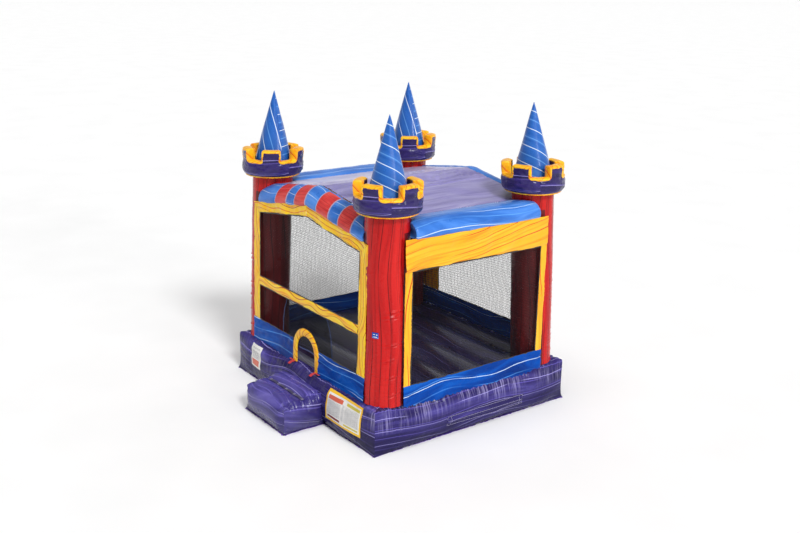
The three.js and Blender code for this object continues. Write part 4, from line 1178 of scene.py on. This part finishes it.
def make_nets():
    half, wide, side = WINDOW_HALF - 0.001, BACK_WINDOW - 0.001, SIDE_WINDOW - 0.001
    net_sheet("net_front_upper", half, lambda x: RAIL_TOP, lambda x: gable_at(x, WINDOW_HALF) - 0.001,
              61)
    net_sheet("net_front_lower", half, door_edge, lambda x: RAIL_BOTTOM,
              62)
    net_sheet("net_back", wide, lambda x: BACK_BAND - 0.004, lambda x: gable_at(x, BACK_WINDOW) - 0.001,
              63)
    for wall, seed in (("left", 64), ("right", 65)):
        net_sheet(f"net_{wall}", side, lambda x: SIDE_BAND - 0.006, lambda x: HEADER_BOTTOM + 0.001,
                  seed)


# ---- Door ----


def make_door():
    """The arched trim, the red webbing at its feet and the loose net curtain behind it."""
    width, middle = DOOR_OUT - DOOR_IN, (DOOR_OUT + DOOR_IN) / 2
    arc, legs = np.linspace(math.pi, 0, 60)[1:-1], np.linspace(0, DOOR_SPRING, 14)
    line = np.concatenate([
        joined(DOOR_X - middle, legs),
        joined(DOOR_X + middle * np.cos(arc), DOOR_SPRING + middle * np.sin(arc)),
        joined(DOOR_X + middle, legs[::-1]),
    ])
    tangent = ways(line)
    outward = joined(-tangent[:, 1], tangent[:, 0])
    v = np.linspace(-1, 1, 13)
    across = v * width / 2
    flat = line[:, None] + outward[:, None] * across[:, None]
    x, h, run = flat[..., 0], flat[..., 1], lengths(line, 0)[:, None]
    lift = 0.016 * (1 - v**2) ** 0.6 + 0.004 * gathers(run, 0.05, 71) * v**2 + wall_relief(x, h, 72, 0.003)
    uv = joined(0.5 * run + across, 0.8 * run - 0.6 * across)
    shell = Shell().slab(on_wall("front", x, h, 0.0065 + lift), on_wall("front", x, h, 0.0015), uv)
    settle(shell.build("door_trim_cloth", LOOK["trim"]), "yellow_vinyl", "door_trim")
    for side, name in ((-1, "left"), (1, "right")):
        make_door_tab(DOOR_X + side * middle, side, name)
    make_curtain()


def make_door_tab(x, side, name):
    """Red webbing at a foot of the door trim: a tape that runs forward, and a tongue that runs aside."""
    webbing = Shell()
    t = np.linspace(0, 1, 22)
    tape = joined(x, -WALL_Y - 0.010 - 0.115 * t, BASE_TOP + 0.004 - 0.030 * t**3 + 0.002 * np.sin(14 * t))
    flat_tab(webbing, tape, 0.030, (1, 0, 0))
    t = np.linspace(0, 1, 14)
    tongue = joined(x + side * (0.02 + 0.10 * t), -WALL_Y - 0.022, BASE_TOP + 0.006 + 0.002 * np.sin(9 * t))
    flat_tab(webbing, tongue, 0.022, (0, 1, 0))
    settle(webbing.build(f"door_tab_webbing_{name}", LOOK["tab"]), "red_vinyl", f"door_tab_{name}")


def flat_tab(shell, line, half, way):
    """A short tape along a line of points, half its width to each side, the given way."""
    across = np.linspace(-half, half, 5)
    strip = line[:, None] + np.array(way) * across[:, None]
    shell.slab(strip, strip - [0, 0, 0.0025], joined(lengths(line, 0)[:, None], across))


def make_curtain():
    """The net curtain behind the doorway: two curved edges with a dark binding, hung from a hem."""
    rows, across = np.linspace(0, 1, 34), np.linspace(-1, 1, 70)[:, None]
    x = across * FLAP_HALF * (0.80 + 0.19 * np.sin(math.pi * np.clip(rows * 0.62 + 0.02, 0, 1)))
    z = FLAP_HINGE - 0.002 - (FLAP_HINGE - FLAP_BOTTOM - 0.01) * rows
    y = FLAP_Y + 0.010 * np.sin(x * 13 + 0.7) * rows**0.7 + 0.004 * ripple(joined(x, z), 0.4, 75)
    points = joined(x, y, z)
    net = Shell().grid(points, joined(x, z)).build("door_curtain_net", LOOK["veil"])
    settle(net, "net_mesh", "door_flap", body="door_curtain")
    bound = 0.022
    border = np.concatenate([points[0], points[1:, -1], points[-1, ::-1][1:]])
    inner = np.concatenate([points[1], points[1:, -1] + [0, 0, bound], points[-2, ::-1][1:]])
    strip = np.stack([border, inner], 1)
    uv = joined(lengths(border, 0)[:, None], [0, bound])
    edges = Shell().slab(strip - [0, 0.0025, 0], strip + [0, 0.0025, 0], uv)
    binding = settle(edges.build("door_curtain_binding", LOOK["bind"]), "net_mesh", body="door_curtain")
    turn = np.linspace(0, FULL_TURN, 13)
    hem_x = np.linspace(-FLAP_HALF * 0.84, FLAP_HALF * 0.84, 60)[:, None]
    roll = 0.0068 + 0.0012 * ripple(hem_x[..., None], 0.1, 76)
    hem = joined(hem_x, FLAP_Y + roll * np.cos(turn), FLAP_HINGE + roll * np.sin(turn))
    rod = Shell().grid(hem, joined(hem_x, 0.007 * turn)).build("door_curtain_hem", LOOK["hem"])
    settle(rod, "net_mesh", body="door_curtain")


# ---- Beams and roof ----

# Sections as (out, up).
ARCH_SECTION = [(1.376, 3.300), (1.380, 3.222), (1.425, 3.186), (1.545, 3.168), (1.640, 3.158),
                (1.684, 3.180), (1.691, 3.235), (1.667, 3.306), (1.618, 3.376), (1.552, 3.426),
                (1.480, 3.450), (1.420, 3.450), (1.384, 3.420)]
SIDE_BEAM_SECTION = [(1.462, 3.130), (1.468, 3.066), (1.530, 3.036), (1.710, 3.022), (1.900, 3.010),
                     (1.976, 3.030), (1.992, 3.075), (1.980, 3.140), (1.938, 3.200), (1.872, 3.242),
                     (1.780, 3.263), (1.660, 3.258), (1.520, 3.234), (1.468, 3.200)]
RED_STRIPES = ((-0.92, -0.57), (-0.35, -0.02), (0.265, 0.605), (0.835, 1.18))
STRIPE_EDGE = (1.455, 3.38)  # A striped length is blue above this and inwards of it.
COLUMN_ROOM = 0.3195  # A beam stops at this distance from a column's axis.


def beside_column(out, z, centre_out, centre_along, limit):
    """How far a beam can run before it meets the column at that height."""
    lean = LEAN * (z - BASE_TOP)
    near = out - (centre_out - lean)
    room = centre_along - lean - np.sqrt(np.clip(COLUMN_ROOM**2 - near**2, 0, None))
    return np.where(np.abs(near) < COLUMN_ROOM, np.minimum(room, limit), limit)


def beam_piece(name, slot, look, section, place, ends, seed, nodes=(), sag=0.0, pleat=0.004,
               rounded=(True, True)):
    """A puffed length of beam, drawn in at its seams: the section runs from one end to the other.

    ends are numbers, or functions of the section's points. place turns (along, out, up) into the frame."""
    loop = curve([*section, section[0]], 72)
    centre = loop[:-1].mean(0)
    tangent = ways(loop, closed=True)
    normal = joined(tangent[:, 1], -tangent[:, 0])
    normal *= np.sign((normal * (loop - centre)).sum(1).mean())
    low, high = (np.broadcast_to(end(loop) if callable(end) else end, len(loop)) for end in ends)
    length = high.max() - low.min()
    count = max(14, int(length / 0.018))
    t = np.linspace(0, 1, count)[:, None]
    along = low * (1 - t) + high * t
    near = np.minimum(t, 1 - t) * length
    puff = -0.005 * fade(near, 0.018)
    for is_round, way in zip(rounded, (t, 1 - t)):
        if is_round:
            inside = np.clip(1 - way * length / 0.03, 0, 1)
            puff = puff - 0.014 * (1 - np.sqrt(1 - inside**2))
    around = lengths(loop, 0)
    field = joined(along, around)
    lift = puff + 0.003 * ripple(field, 0.7, seed) * smooth(near, 0, 0.12)
    lift = lift + 0.0015 * ripple(field, 0.17, seed + 1) * smooth(near, 0, 0.05)
    lift = lift - pleat * gathers(around, 0.055, seed) * fade(near, 0.06)
    drawn = bell(loop[:, 1] - section[0][1] + 0.04, 0.05)
    lift = lift - 0.3 * pleat * gathers(along, 0.06, seed + 2) * drawn * smooth(near, 0, 0.05)
    lift[:, -1] = lift[:, 0]
    flat = loop + normal * lift[..., None]
    points = place(along, flat[..., 0], flat[..., 1] - sag * np.abs(along))
    shell = Shell().grid(points, joined(along + 0.31 * seed, around))
    looks = [LOOK[look]]
    if look == "stripe":
        above = (loop[:-1, 0] < STRIPE_EDGE[0]) & (loop[:-1, 1] > STRIPE_EDGE[1])
        faces = np.broadcast_to(above, (count - 1, len(above))).astype(int)
        faces[[0, -1]] = 2
        shell.looks[0] = faces.ravel()
        looks += [LOOK["gable"], LOOK["thread"]]
    for row in (0, -1):
        rim, rim_uv = points[row], flat[row]
        shell.grid(np.stack([rim, rim * 0 + rim.mean(0)], 1), np.stack([rim_uv, rim_uv * 0 + centre], 1))
    return settle(shell.build(name, *looks), slot, *nodes, fill=0.95)


def make_arch_beam(face):
    """A blue air beam that falls from its middle to both ends. The front one has four red stripes."""
    sign, seed = (-1, 81) if face == "front" else (1, 101)

    def place(along, out, up):
        return joined(-sign * along, sign * out, up)

    def stop(loop):
        return beside_column(loop[:, 0], loop[:, 1] - ROOF_SLOPE * 1.35, TOWER_Y, TOWER_X, ARCH_HALF)

    def start(loop):
        return -stop(loop)

    seams, colours = [0.0], ["gable", "gable"]
    if face == "front":
        seams, colours = [edge for pair in RED_STRIPES for edge in pair], ["gable", "stripe"] * 4 + ["gable"]
    edges = [start, *seams, stop]
    for number, colour in enumerate(colours):
        slot = "red_vinyl" if colour == "stripe" else "blue_vinyl"
        first, last = number == 0, number == len(colours) - 1
        beam_piece(f"beam_{face}_cloth_{number + 1}", slot, colour, ARCH_SECTION, place,
                   edges[number:number + 2], seed + number, [f"beam_{face}"] if first else (), sag=ROOF_SLOPE,
                   rounded=(first, last))


def make_side_beam(face):
    sign, seed = (1, 121) if face == "right" else (-1, 131)

    def place(along, out, up):
        return joined(sign * out, sign * along, up)

    def stop(loop):
        return beside_column(loop[:, 0], loop[:, 1], TOWER_X, TOWER_Y, BEAM_HALF)

    def start(loop):
        return -stop(loop)

    beam_piece(f"beam_{face}_cloth", "blue_vinyl", "beam", SIDE_BEAM_SECTION, place, (start, stop), seed,
               [f"beam_{face}"], pleat=0.006)


def make_roof(side, seed):
    """Half of the roof: a satin sheet, gathered along a seam beside the ridge and at its edges."""
    sign, seam = 1 if side == "right" else -1, 0.50
    x = np.concatenate([np.linspace(0, 0.44, 26)[:-1], np.linspace(0.44, 0.60, 22)[:-1],
                        np.linspace(0.60, ROOF_EAVE, 46)])[:, None]
    z = ROOF_RIDGE - ROOF_SLOPE * x
    half = np.minimum(beside_column(x, z, TOWER_X, TOWER_Y, ROOF_Y), ROOF_Y)
    v = np.linspace(-1, 1, 130)
    y = half * v
    place = joined(x, y)
    to_end, to_eave = half - np.abs(y), ROOF_EAVE - x
    lift = 0.010 * ripple(place, 0.9, seed) * smooth(np.minimum(to_end, to_eave), 0, 0.3)
    lift = lift - 0.012 * np.sin(math.pi * np.clip(x / ROOF_EAVE, 0, 1)) * (1 - v**2)
    lift = lift - 0.016 * bell(x - seam, 0.012)
    lift = lift - 0.010 * gathers(y, 0.07, seed) * fade(np.abs(x - seam), 0.07)
    crumple = smooth(x, 0.0, 0.1) * (1 - smooth(x, 0.42, 0.52))
    lift = lift + 0.008 * ripple(place @ np.array([[1.6, -0.5], [0.5, 1.0]]), 0.15, seed + 2) * crumple
    lift = lift - 0.006 * gathers(y, 0.075, seed + 3) * fade(to_eave, 0.06)
    lift = lift - 0.005 * gathers(x, 0.075, seed + 4) * fade(to_end, 0.06)
    lift = lift * smooth(x, -0.001, 0.02)
    top = joined(sign * x, y, z + lift)
    shell = Shell().slab(top, top - [0, 0, 0.0035], joined(y + 0.5 * seed, x))
    # The left half takes the paler copy: painted reflection.
    settle(shell.build(f"roof_cloth_{side}", LOOK[f"roof_{side}"]), "roof_vinyl", f"roof_{side}")


def make_roof_loop():
    """A short webbing loop sewn to the right half of the roof."""
    t = np.linspace(0, 1, 40)
    middle_x, middle_y, width = 0.53, 0.06, 0.028
    bulge = 0.026 * np.sin(math.pi * np.clip((t - 0.18) / 0.64, 0, 1)) ** 0.8
    z = ROOF_RIDGE - ROOF_SLOPE * middle_x + bulge + 0.004
    line = joined(middle_x + 0.006 * np.sin(5 * t), middle_y + 0.09 * (t - 0.5), z)
    across = np.linspace(-width / 2, width / 2, 5)
    strip = line[:, None] + np.array([1, 0, -ROOF_SLOPE]) * across[:, None]
    loop = Shell().slab(strip, strip - [0, 0, 0.0025], joined(t[:, None] * 0.12, across + width / 2))
    settle(loop.build("roof_loop", LOOK["thread"]), "webbing")


# ---- What is sewn to the base ----


class Drape:
    """Finds the cloth of a piece, for what is laid on it."""

    def __init__(self, piece):
        self.tree = BVHTree.FromObject(piece, bpy.context.evaluated_depsgraph_get())

    def out(self, face, along, up):
        """How far out the cloth of that side is, for each (along, up)."""
        out_x, out_y = FACES[face]
        found, away = np.empty(along.shape), 3
        for index in np.ndindex(along.shape):
            a, u = along[index], up[index]
            start = Vector((away * out_x - a * out_y, away * out_y + a * out_x, u))
            hit = self.tree.ray_cast(start, Vector((-out_x, -out_y, 0)))[0]
            found[index] = away - (hit - start).length if hit else np.nan
        return found

    def height(self, x, y):
        """How high the cloth is there."""
        return self.tree.ray_cast(Vector((x, y, 3)), Vector((0, 0, -1)))[0].z

    def bridge(self, face, low_x, high_x, low, high, proud=0.004):
        """A smooth surface that spans the pleats under a label, as a function of (along, up)."""
        columns, rows, reach = 60, 24, 4
        along, up = np.linspace(low_x, high_x, columns), np.linspace(low, high, rows)
        far = self.out(face, *np.meshgrid(along, up, indexing="ij"))
        for _ in range(2):
            wide = np.pad(far, ((reach, reach), (0, 0)), mode="edge")
            window = np.stack([wide[k:k + columns] for k in range(2 * reach + 1)])
            far = 0.75 * window.max(0) + 0.25 * window.mean(0)

        def out(a, u):
            i = np.clip((a - low_x) / (high_x - low_x) * (columns - 1), 0, columns - 1.001)
            j = np.clip((u - low) / (high - low) * (rows - 1), 0, rows - 1.001)
            i0, j0 = i.astype(int), j.astype(int)
            p, q = i - i0, j - j0
            near = far[i0, j0] * (1 - q) + far[i0, j0 + 1] * q
            return near * (1 - p) + (far[i0 + 1, j0] * (1 - q) + far[i0 + 1, j0 + 1] * q) * p + proud
        return out


def lay(shell, face, along, up, out, proud, thickness=0.002, look=0):
    """A flat piece on one side: along and up are its grid's lines, and out gives the surface under it."""
    along, up = np.meshgrid(along, up, indexing="ij")
    far = out(along, up) + proud
    front, back = (facing(joined(along, far - depth, up), face) for depth in (0, thickness))
    return shell.slab(front, back, joined(along, up), look)


def spaced(low, high, pitch=0.03):
    return np.linspace(low, high, max(3, int((high - low) / pitch) + 1))


def make_label(name, out, layers, looks):
    """A label on a surface: layers of (left, right, bottom, top, how proud, which look)."""
    shell = Shell()
    for low_x, high_x, low, high, proud, number in layers:
        lay(shell, "front", spaced(low_x, high_x), spaced(low, high, 0.015), out, proud, 0.0012, number)
    settle(shell.build(f"{name}_cloth", *(LOOK[look] for look in looks)), "label_vinyl", name)


def make_labels(drape):
    """The rules panel and the small label: white cloth with plain coloured bars, and no words."""
    left, right, low, high = 0.83, 1.69, 0.18, 0.625
    middle, frame_width, second, third = (left + right) / 2, 0.035, 0.0013, 0.0026
    make_label("rules_panel", drape.bridge("front", left, right, low, high), (
        (left, right, low, high, 0.0, 1),
        (left + frame_width, right - frame_width, low + frame_width, high - frame_width, second, 0),
        (left + 0.06, middle - 0.04, high - 0.115, high - 0.06, third, 2),
        (middle + 0.05, right - 0.06, high - 0.100, high - 0.06, third, 4),
        (left + 0.06, middle - 0.06, low + 0.055, low + 0.085, third, 3),
        (middle + 0.05, right - 0.06, low + 0.055, low + 0.080, third, 4),
        (left + 0.06, middle - 0.06, low + 0.105, high - 0.135, third, 5),
        (middle - 0.03, middle + 0.03, low + 0.10, high - 0.11, third, 5),
        (middle + 0.05, right - 0.06, low + 0.10, high - 0.12, third, 5),
    ), ("paper", "edge", "paper_red", "paper_dark", "paper_gold", "print"))
    left, right, low, high = -1.48, -1.15, 0.24, 0.61
    make_label("info_label", drape.bridge("front", left, right, low, high), (
        (left, right, low, high, 0.0, 0),
        (left + 0.04, right - 0.05, low + 0.03, low + 0.13, second, 2),
        (left + 0.04, right - 0.05, low + 0.15, high - 0.10, second, 1),
        (left + 0.04, right - 0.05, high - 0.07, high - 0.04, second, 1),
    ), ("paper", "print", "paper_red"))


def make_zip(drape):
    """The deflation zip on the right side: tape and teeth, and the long cover sewn on along its top."""
    low_y, high_y, low, high, middle = -0.57, 0.905, 0.15, 0.309, 0.23
    cover_x, tape_x, teeth_x = 2.0605, 2.0525, 2.0538

    def over_zip(along, up):
        cloth = drape.out("right", along, up)
        ends = np.minimum(along - low_y, high_y - along)
        hump = np.exp(-(((up - middle) / 0.034) ** 4)) * smooth(ends, 0.0, 0.03)
        return cloth + (np.maximum(cover_x, cloth) - cloth) * hump

    cover = Shell()
    lay(cover, "right", spaced(low_y, high_y, 0.02), spaced(low, high, 0.008), over_zip, 0.0032)
    settle(cover.build("zip_cover_cloth", LOOK["purple"]), "purple_vinyl", "zip_cover", body="zip_flap")
    stitches, edge, thin = Shell(), 0.006, np.array([-0.00175, 0, 0.00175])
    along, up = spaced(low_y + edge, high_y - edge, 0.02), spaced(low + edge, high - edge, 0.008)
    for level in (low + edge, (low + high) / 2, high - edge):
        lay(stitches, "right", along, level + thin, over_zip, 0.0046, 0.0015)
    for y in (low_y + edge, low_y + 0.075, high_y - 0.075, high_y - edge):
        lay(stitches, "right", y + thin, up, over_zip, 0.0046, 0.0015)
    settle(stitches.build("zip_cover_stitches", LOOK["thread"]), "webbing", body="zip_flap")
    tape = Shell()
    lay(tape, "right", spaced(-0.54, 0.875, 0.02), spaced(0.20, 0.26, 0.006),
        lambda along, up: tape_x - 0.05 * (up - middle) ** 2, 0.0)
    for y in np.arange(-0.53, 0.87, 0.0045)[::2]:
        lay(tape, "right", y + np.array([0, 0.0016, 0.0032]), middle + np.array([-0.0045, 0, 0.0045]),
            lambda along, up: teeth_x - 60 * (up - middle) ** 2, 0.0)
    settle(tape.build("zip_tape_cloth", LOOK["zip"]), "zip_fabric", "zip_tape")


def tube(radius, y, turn):
    """Points round the inlet's axis."""
    return joined(INLET_X + radius * np.cos(turn), y, INLET_Z + radius * np.sin(turn))


def make_inlet():
    """The soft sleeve that takes the blower's nozzle, with its tie strap."""
    turn, tie = np.linspace(0, FULL_TURN, 73)[:, None], 2.107
    y = np.linspace(BASE_Y - 0.004, INLET_END - 0.003, 44)
    radius = 0.1175 + 0.0015 * ripple(joined(np.cos(turn), np.sin(turn), 3 * y), 1.0, 141)
    pleats = 0.5 + 0.5 * np.cos(19 * turn + 2 * np.sin(3 * turn))
    radius = radius - 0.0035 * pleats * fade(np.abs(y - tie), 0.05)
    radius = radius + 0.0015 * fade(INLET_END - y, 0.008)
    sleeve = Shell().slab(tube(radius, y, turn), tube(radius - 0.004, y, turn), joined(y, 0.12 * turn))
    settle(sleeve.build("inlet_sleeve_cloth", LOOK["purple"]), "purple_vinyl", "inlet_sleeve")
    across = np.linspace(tie - 0.017, tie + 0.017, 6)
    outer, inner = (tube(radius + 0.0005 * np.sin(9 * turn), across, turn) for radius in (0.1232, 0.1204))
    strap = Shell().slab(outer, inner, joined(0.12 * turn, across))
    settle(strap.build("inlet_strap_webbing", LOOK["web"]), "webbing", "inlet_strap")


def make_anchor_tab(side, drape):
    """Webbing folded round the ring's bar and sewn to the back of the base above it."""
    centre, width = 1.5 if side == "right" else -1.5, 0.046
    ring_y, ring_z, eye = 1.866, 0.15, 0.0075
    turn = np.linspace(math.pi, -math.pi / 2, 22)
    fold = joined(ring_y - eye * np.sin(turn), ring_z - eye * np.cos(turn))
    levels = np.linspace(0.26, 0.17, 9)
    sewn = joined(drape.out("back", np.full(9, -centre), levels) + 0.003, levels)
    line = np.concatenate([sewn, [[sewn[-1, 0], 0.163]], fold])
    across = np.linspace(0, width, 6)
    strip = joined(centre - width / 2 + across, line[:, :1], line[:, 1:])
    inner = strip.copy()
    inner[:, :, 1] += 0.0018 * np.sign(ring_y - inner[:, :, 1] + 1e-6)
    tab = Shell().slab(strip, inner, joined(lengths(line, 0)[:, None], across))
    settle(tab.build(f"anchor_tab_webbing_{side}", LOOK["web"]), "webbing", f"anchor_tab_{side}")
    galvanise(f"anchor_ring_{side}")


def galvanise(name):
    """Gives a CAD part of steel its material."""
    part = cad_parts[name]
    part.data.materials.clear()
    part.data.materials.append(LOOK["steel"])


def make_baffles():
    """The cloth webs inside the base, which hold its top and bottom together."""
    x, z = np.linspace(-1.70, 1.70, 90)[:, None], np.linspace(0.024, 0.565, 16)
    for number in range(1, 6):
        y = (number - 3) * BAFFLE_PITCH + 0.006 * ripple(joined(x, z), 0.5, 150 + number)
        front = joined(x, y, z)
        web = Shell().slab(front, front + [0, 0.004, 0], joined(x, z))
        cloth = web.build(f"base_baffle_cloth_{number}", LOOK["purple"])
        settle(cloth, "purple_vinyl", f"base_baffle_{number}")


def make_size_patch():
    """A small plain blue patch with pale bars, on the near column."""
    middle, height = math.radians(-62), 1.026
    centre = (TOWER_X - LEAN * height, -(TOWER_Y - LEAN * height), BASE_TOP + height)
    patch = Shell()
    for a0, a1, h0, h1, lift, look in (
        (-0.155, 0.155, -0.042, 0.042, 0.0065, 0),
        (-0.10, 0.00, 0.010, 0.020, 0.0078, 1),
        (0.06, 0.10, 0.002, 0.020, 0.0078, 1),
        (-0.09, 0.09, -0.023, -0.016, 0.0078, 1),
    ):
        a, up = middle + np.linspace(a0, a1, 9)[:, None], np.linspace(h0, h1, 7)
        outer, inner = (round_piece(TOWER_R + 0.002 + lift - depth, up, a) + centre for depth in (0, 0.0012))
        patch.slab(outer, inner, joined(0.31 * a, height + up), look)
    settle(patch.build("size_patch", LOOK["blue"], LOOK["paper"]), "blue_vinyl")


# ---- Stage ----


def make_sky():
    """A sky that is white at the horizon, dimmer overhead, and dimmer yet on the side that the door faces."""
    sky = Nodes("sky", bpy.data.worlds)
    way = sky.split(sky.node("TexCoord").outputs["Generated"])
    overhead = sky.fit(way["Z"], 0.02, 0.35, 1.0, 0.36)
    toward_door = sky.times(way["Y"], sky.fit(way["Z"], 0.0, 0.08))
    strength = sky.times(overhead, sky.fit(toward_door, -0.8, 0.1, 0.55, 1.0))
    light = sky.node("Background", {"Color": (1.0, 1.0, 1.0, 1.0), "Strength": strength})
    return sky.output(light.outputs[0], "OutputWorld")


# Soft lamps by name: azimuth and elevation in degrees, strength, and apparent size in degrees.
LAMPS = {"key": (80, 40, 1.9, 14), "top": (30, 78, 1.0, 40), "side": (96, 12, 0.5, 9)}
LAMP_DISTANCE = 20


def make_stage():
    """A pale floor and soft light: the sky and three soft lamps."""
    nodes = Nodes("pale_floor")
    cloud = nodes.noise(nodes.mapped((0.6, 0.6)), detail=2.0)
    colour = nodes.ramp(cloud, [(0.3, (248, 248, 248)), (0.7, (252, 252, 252))])
    material = nodes.surface(colour, 0.9, nodes.bump(cloud, 0.001, 0.2))
    x, y = np.array([[-260.0], [260.0]]), np.array([-260.0, 260.0])
    floor = Shell().grid(joined(x, y, -0.001), joined(x, y)).build("floor", material)
    bpy.context.scene.world = make_sky()
    for name, (azimuth, elevation, strength, size) in LAMPS.items():
        lamp = bpy.data.lights.new(name, "SUN")
        lamp.energy, lamp.angle = strength, math.radians(size)
        light = bpy.data.objects.new(name, lamp)
        back = direction(azimuth, elevation)
        light.rotation_mode = "QUATERNION"
        light.rotation_quaternion = back.to_track_quat("Z", "Y")
        light.location = back * LAMP_DISTANCE
        bpy.context.scene.collection.objects.link(light)
    bpy.context.scene.view_settings.view_transform = "Standard"


# ---- The castle ----


def make_towers(drape):
    for number, tower in enumerate(TOWERS):
        make_column(tower, 11 + 10 * number, drape)
        crown = Crown(tower, 13 + 10 * number)
        crown.make_lining()
        crown.make_walls()
        make_cone(tower, 17 + 10 * number)


def make_castle():
    drape = Drape(make_base())
    make_baffles()
    make_step()
    make_towers(drape)
    make_frames()
    make_bands(drape)
    make_nets()
    make_door()
    for face in ("front", "back"):
        make_arch_beam(face)
    for face, seed in (("right", 135), ("left", 138)):
        make_side_beam(face)
        make_roof(face, seed)
    make_roof_loop()
    make_labels(drape)
    make_zip(drape)
    make_inlet()
    for side in ("left", "right"):
        make_anchor_tab(side, drape)
    make_size_patch()
    galvanise("zip_slider")


make_castle()
make_stage()
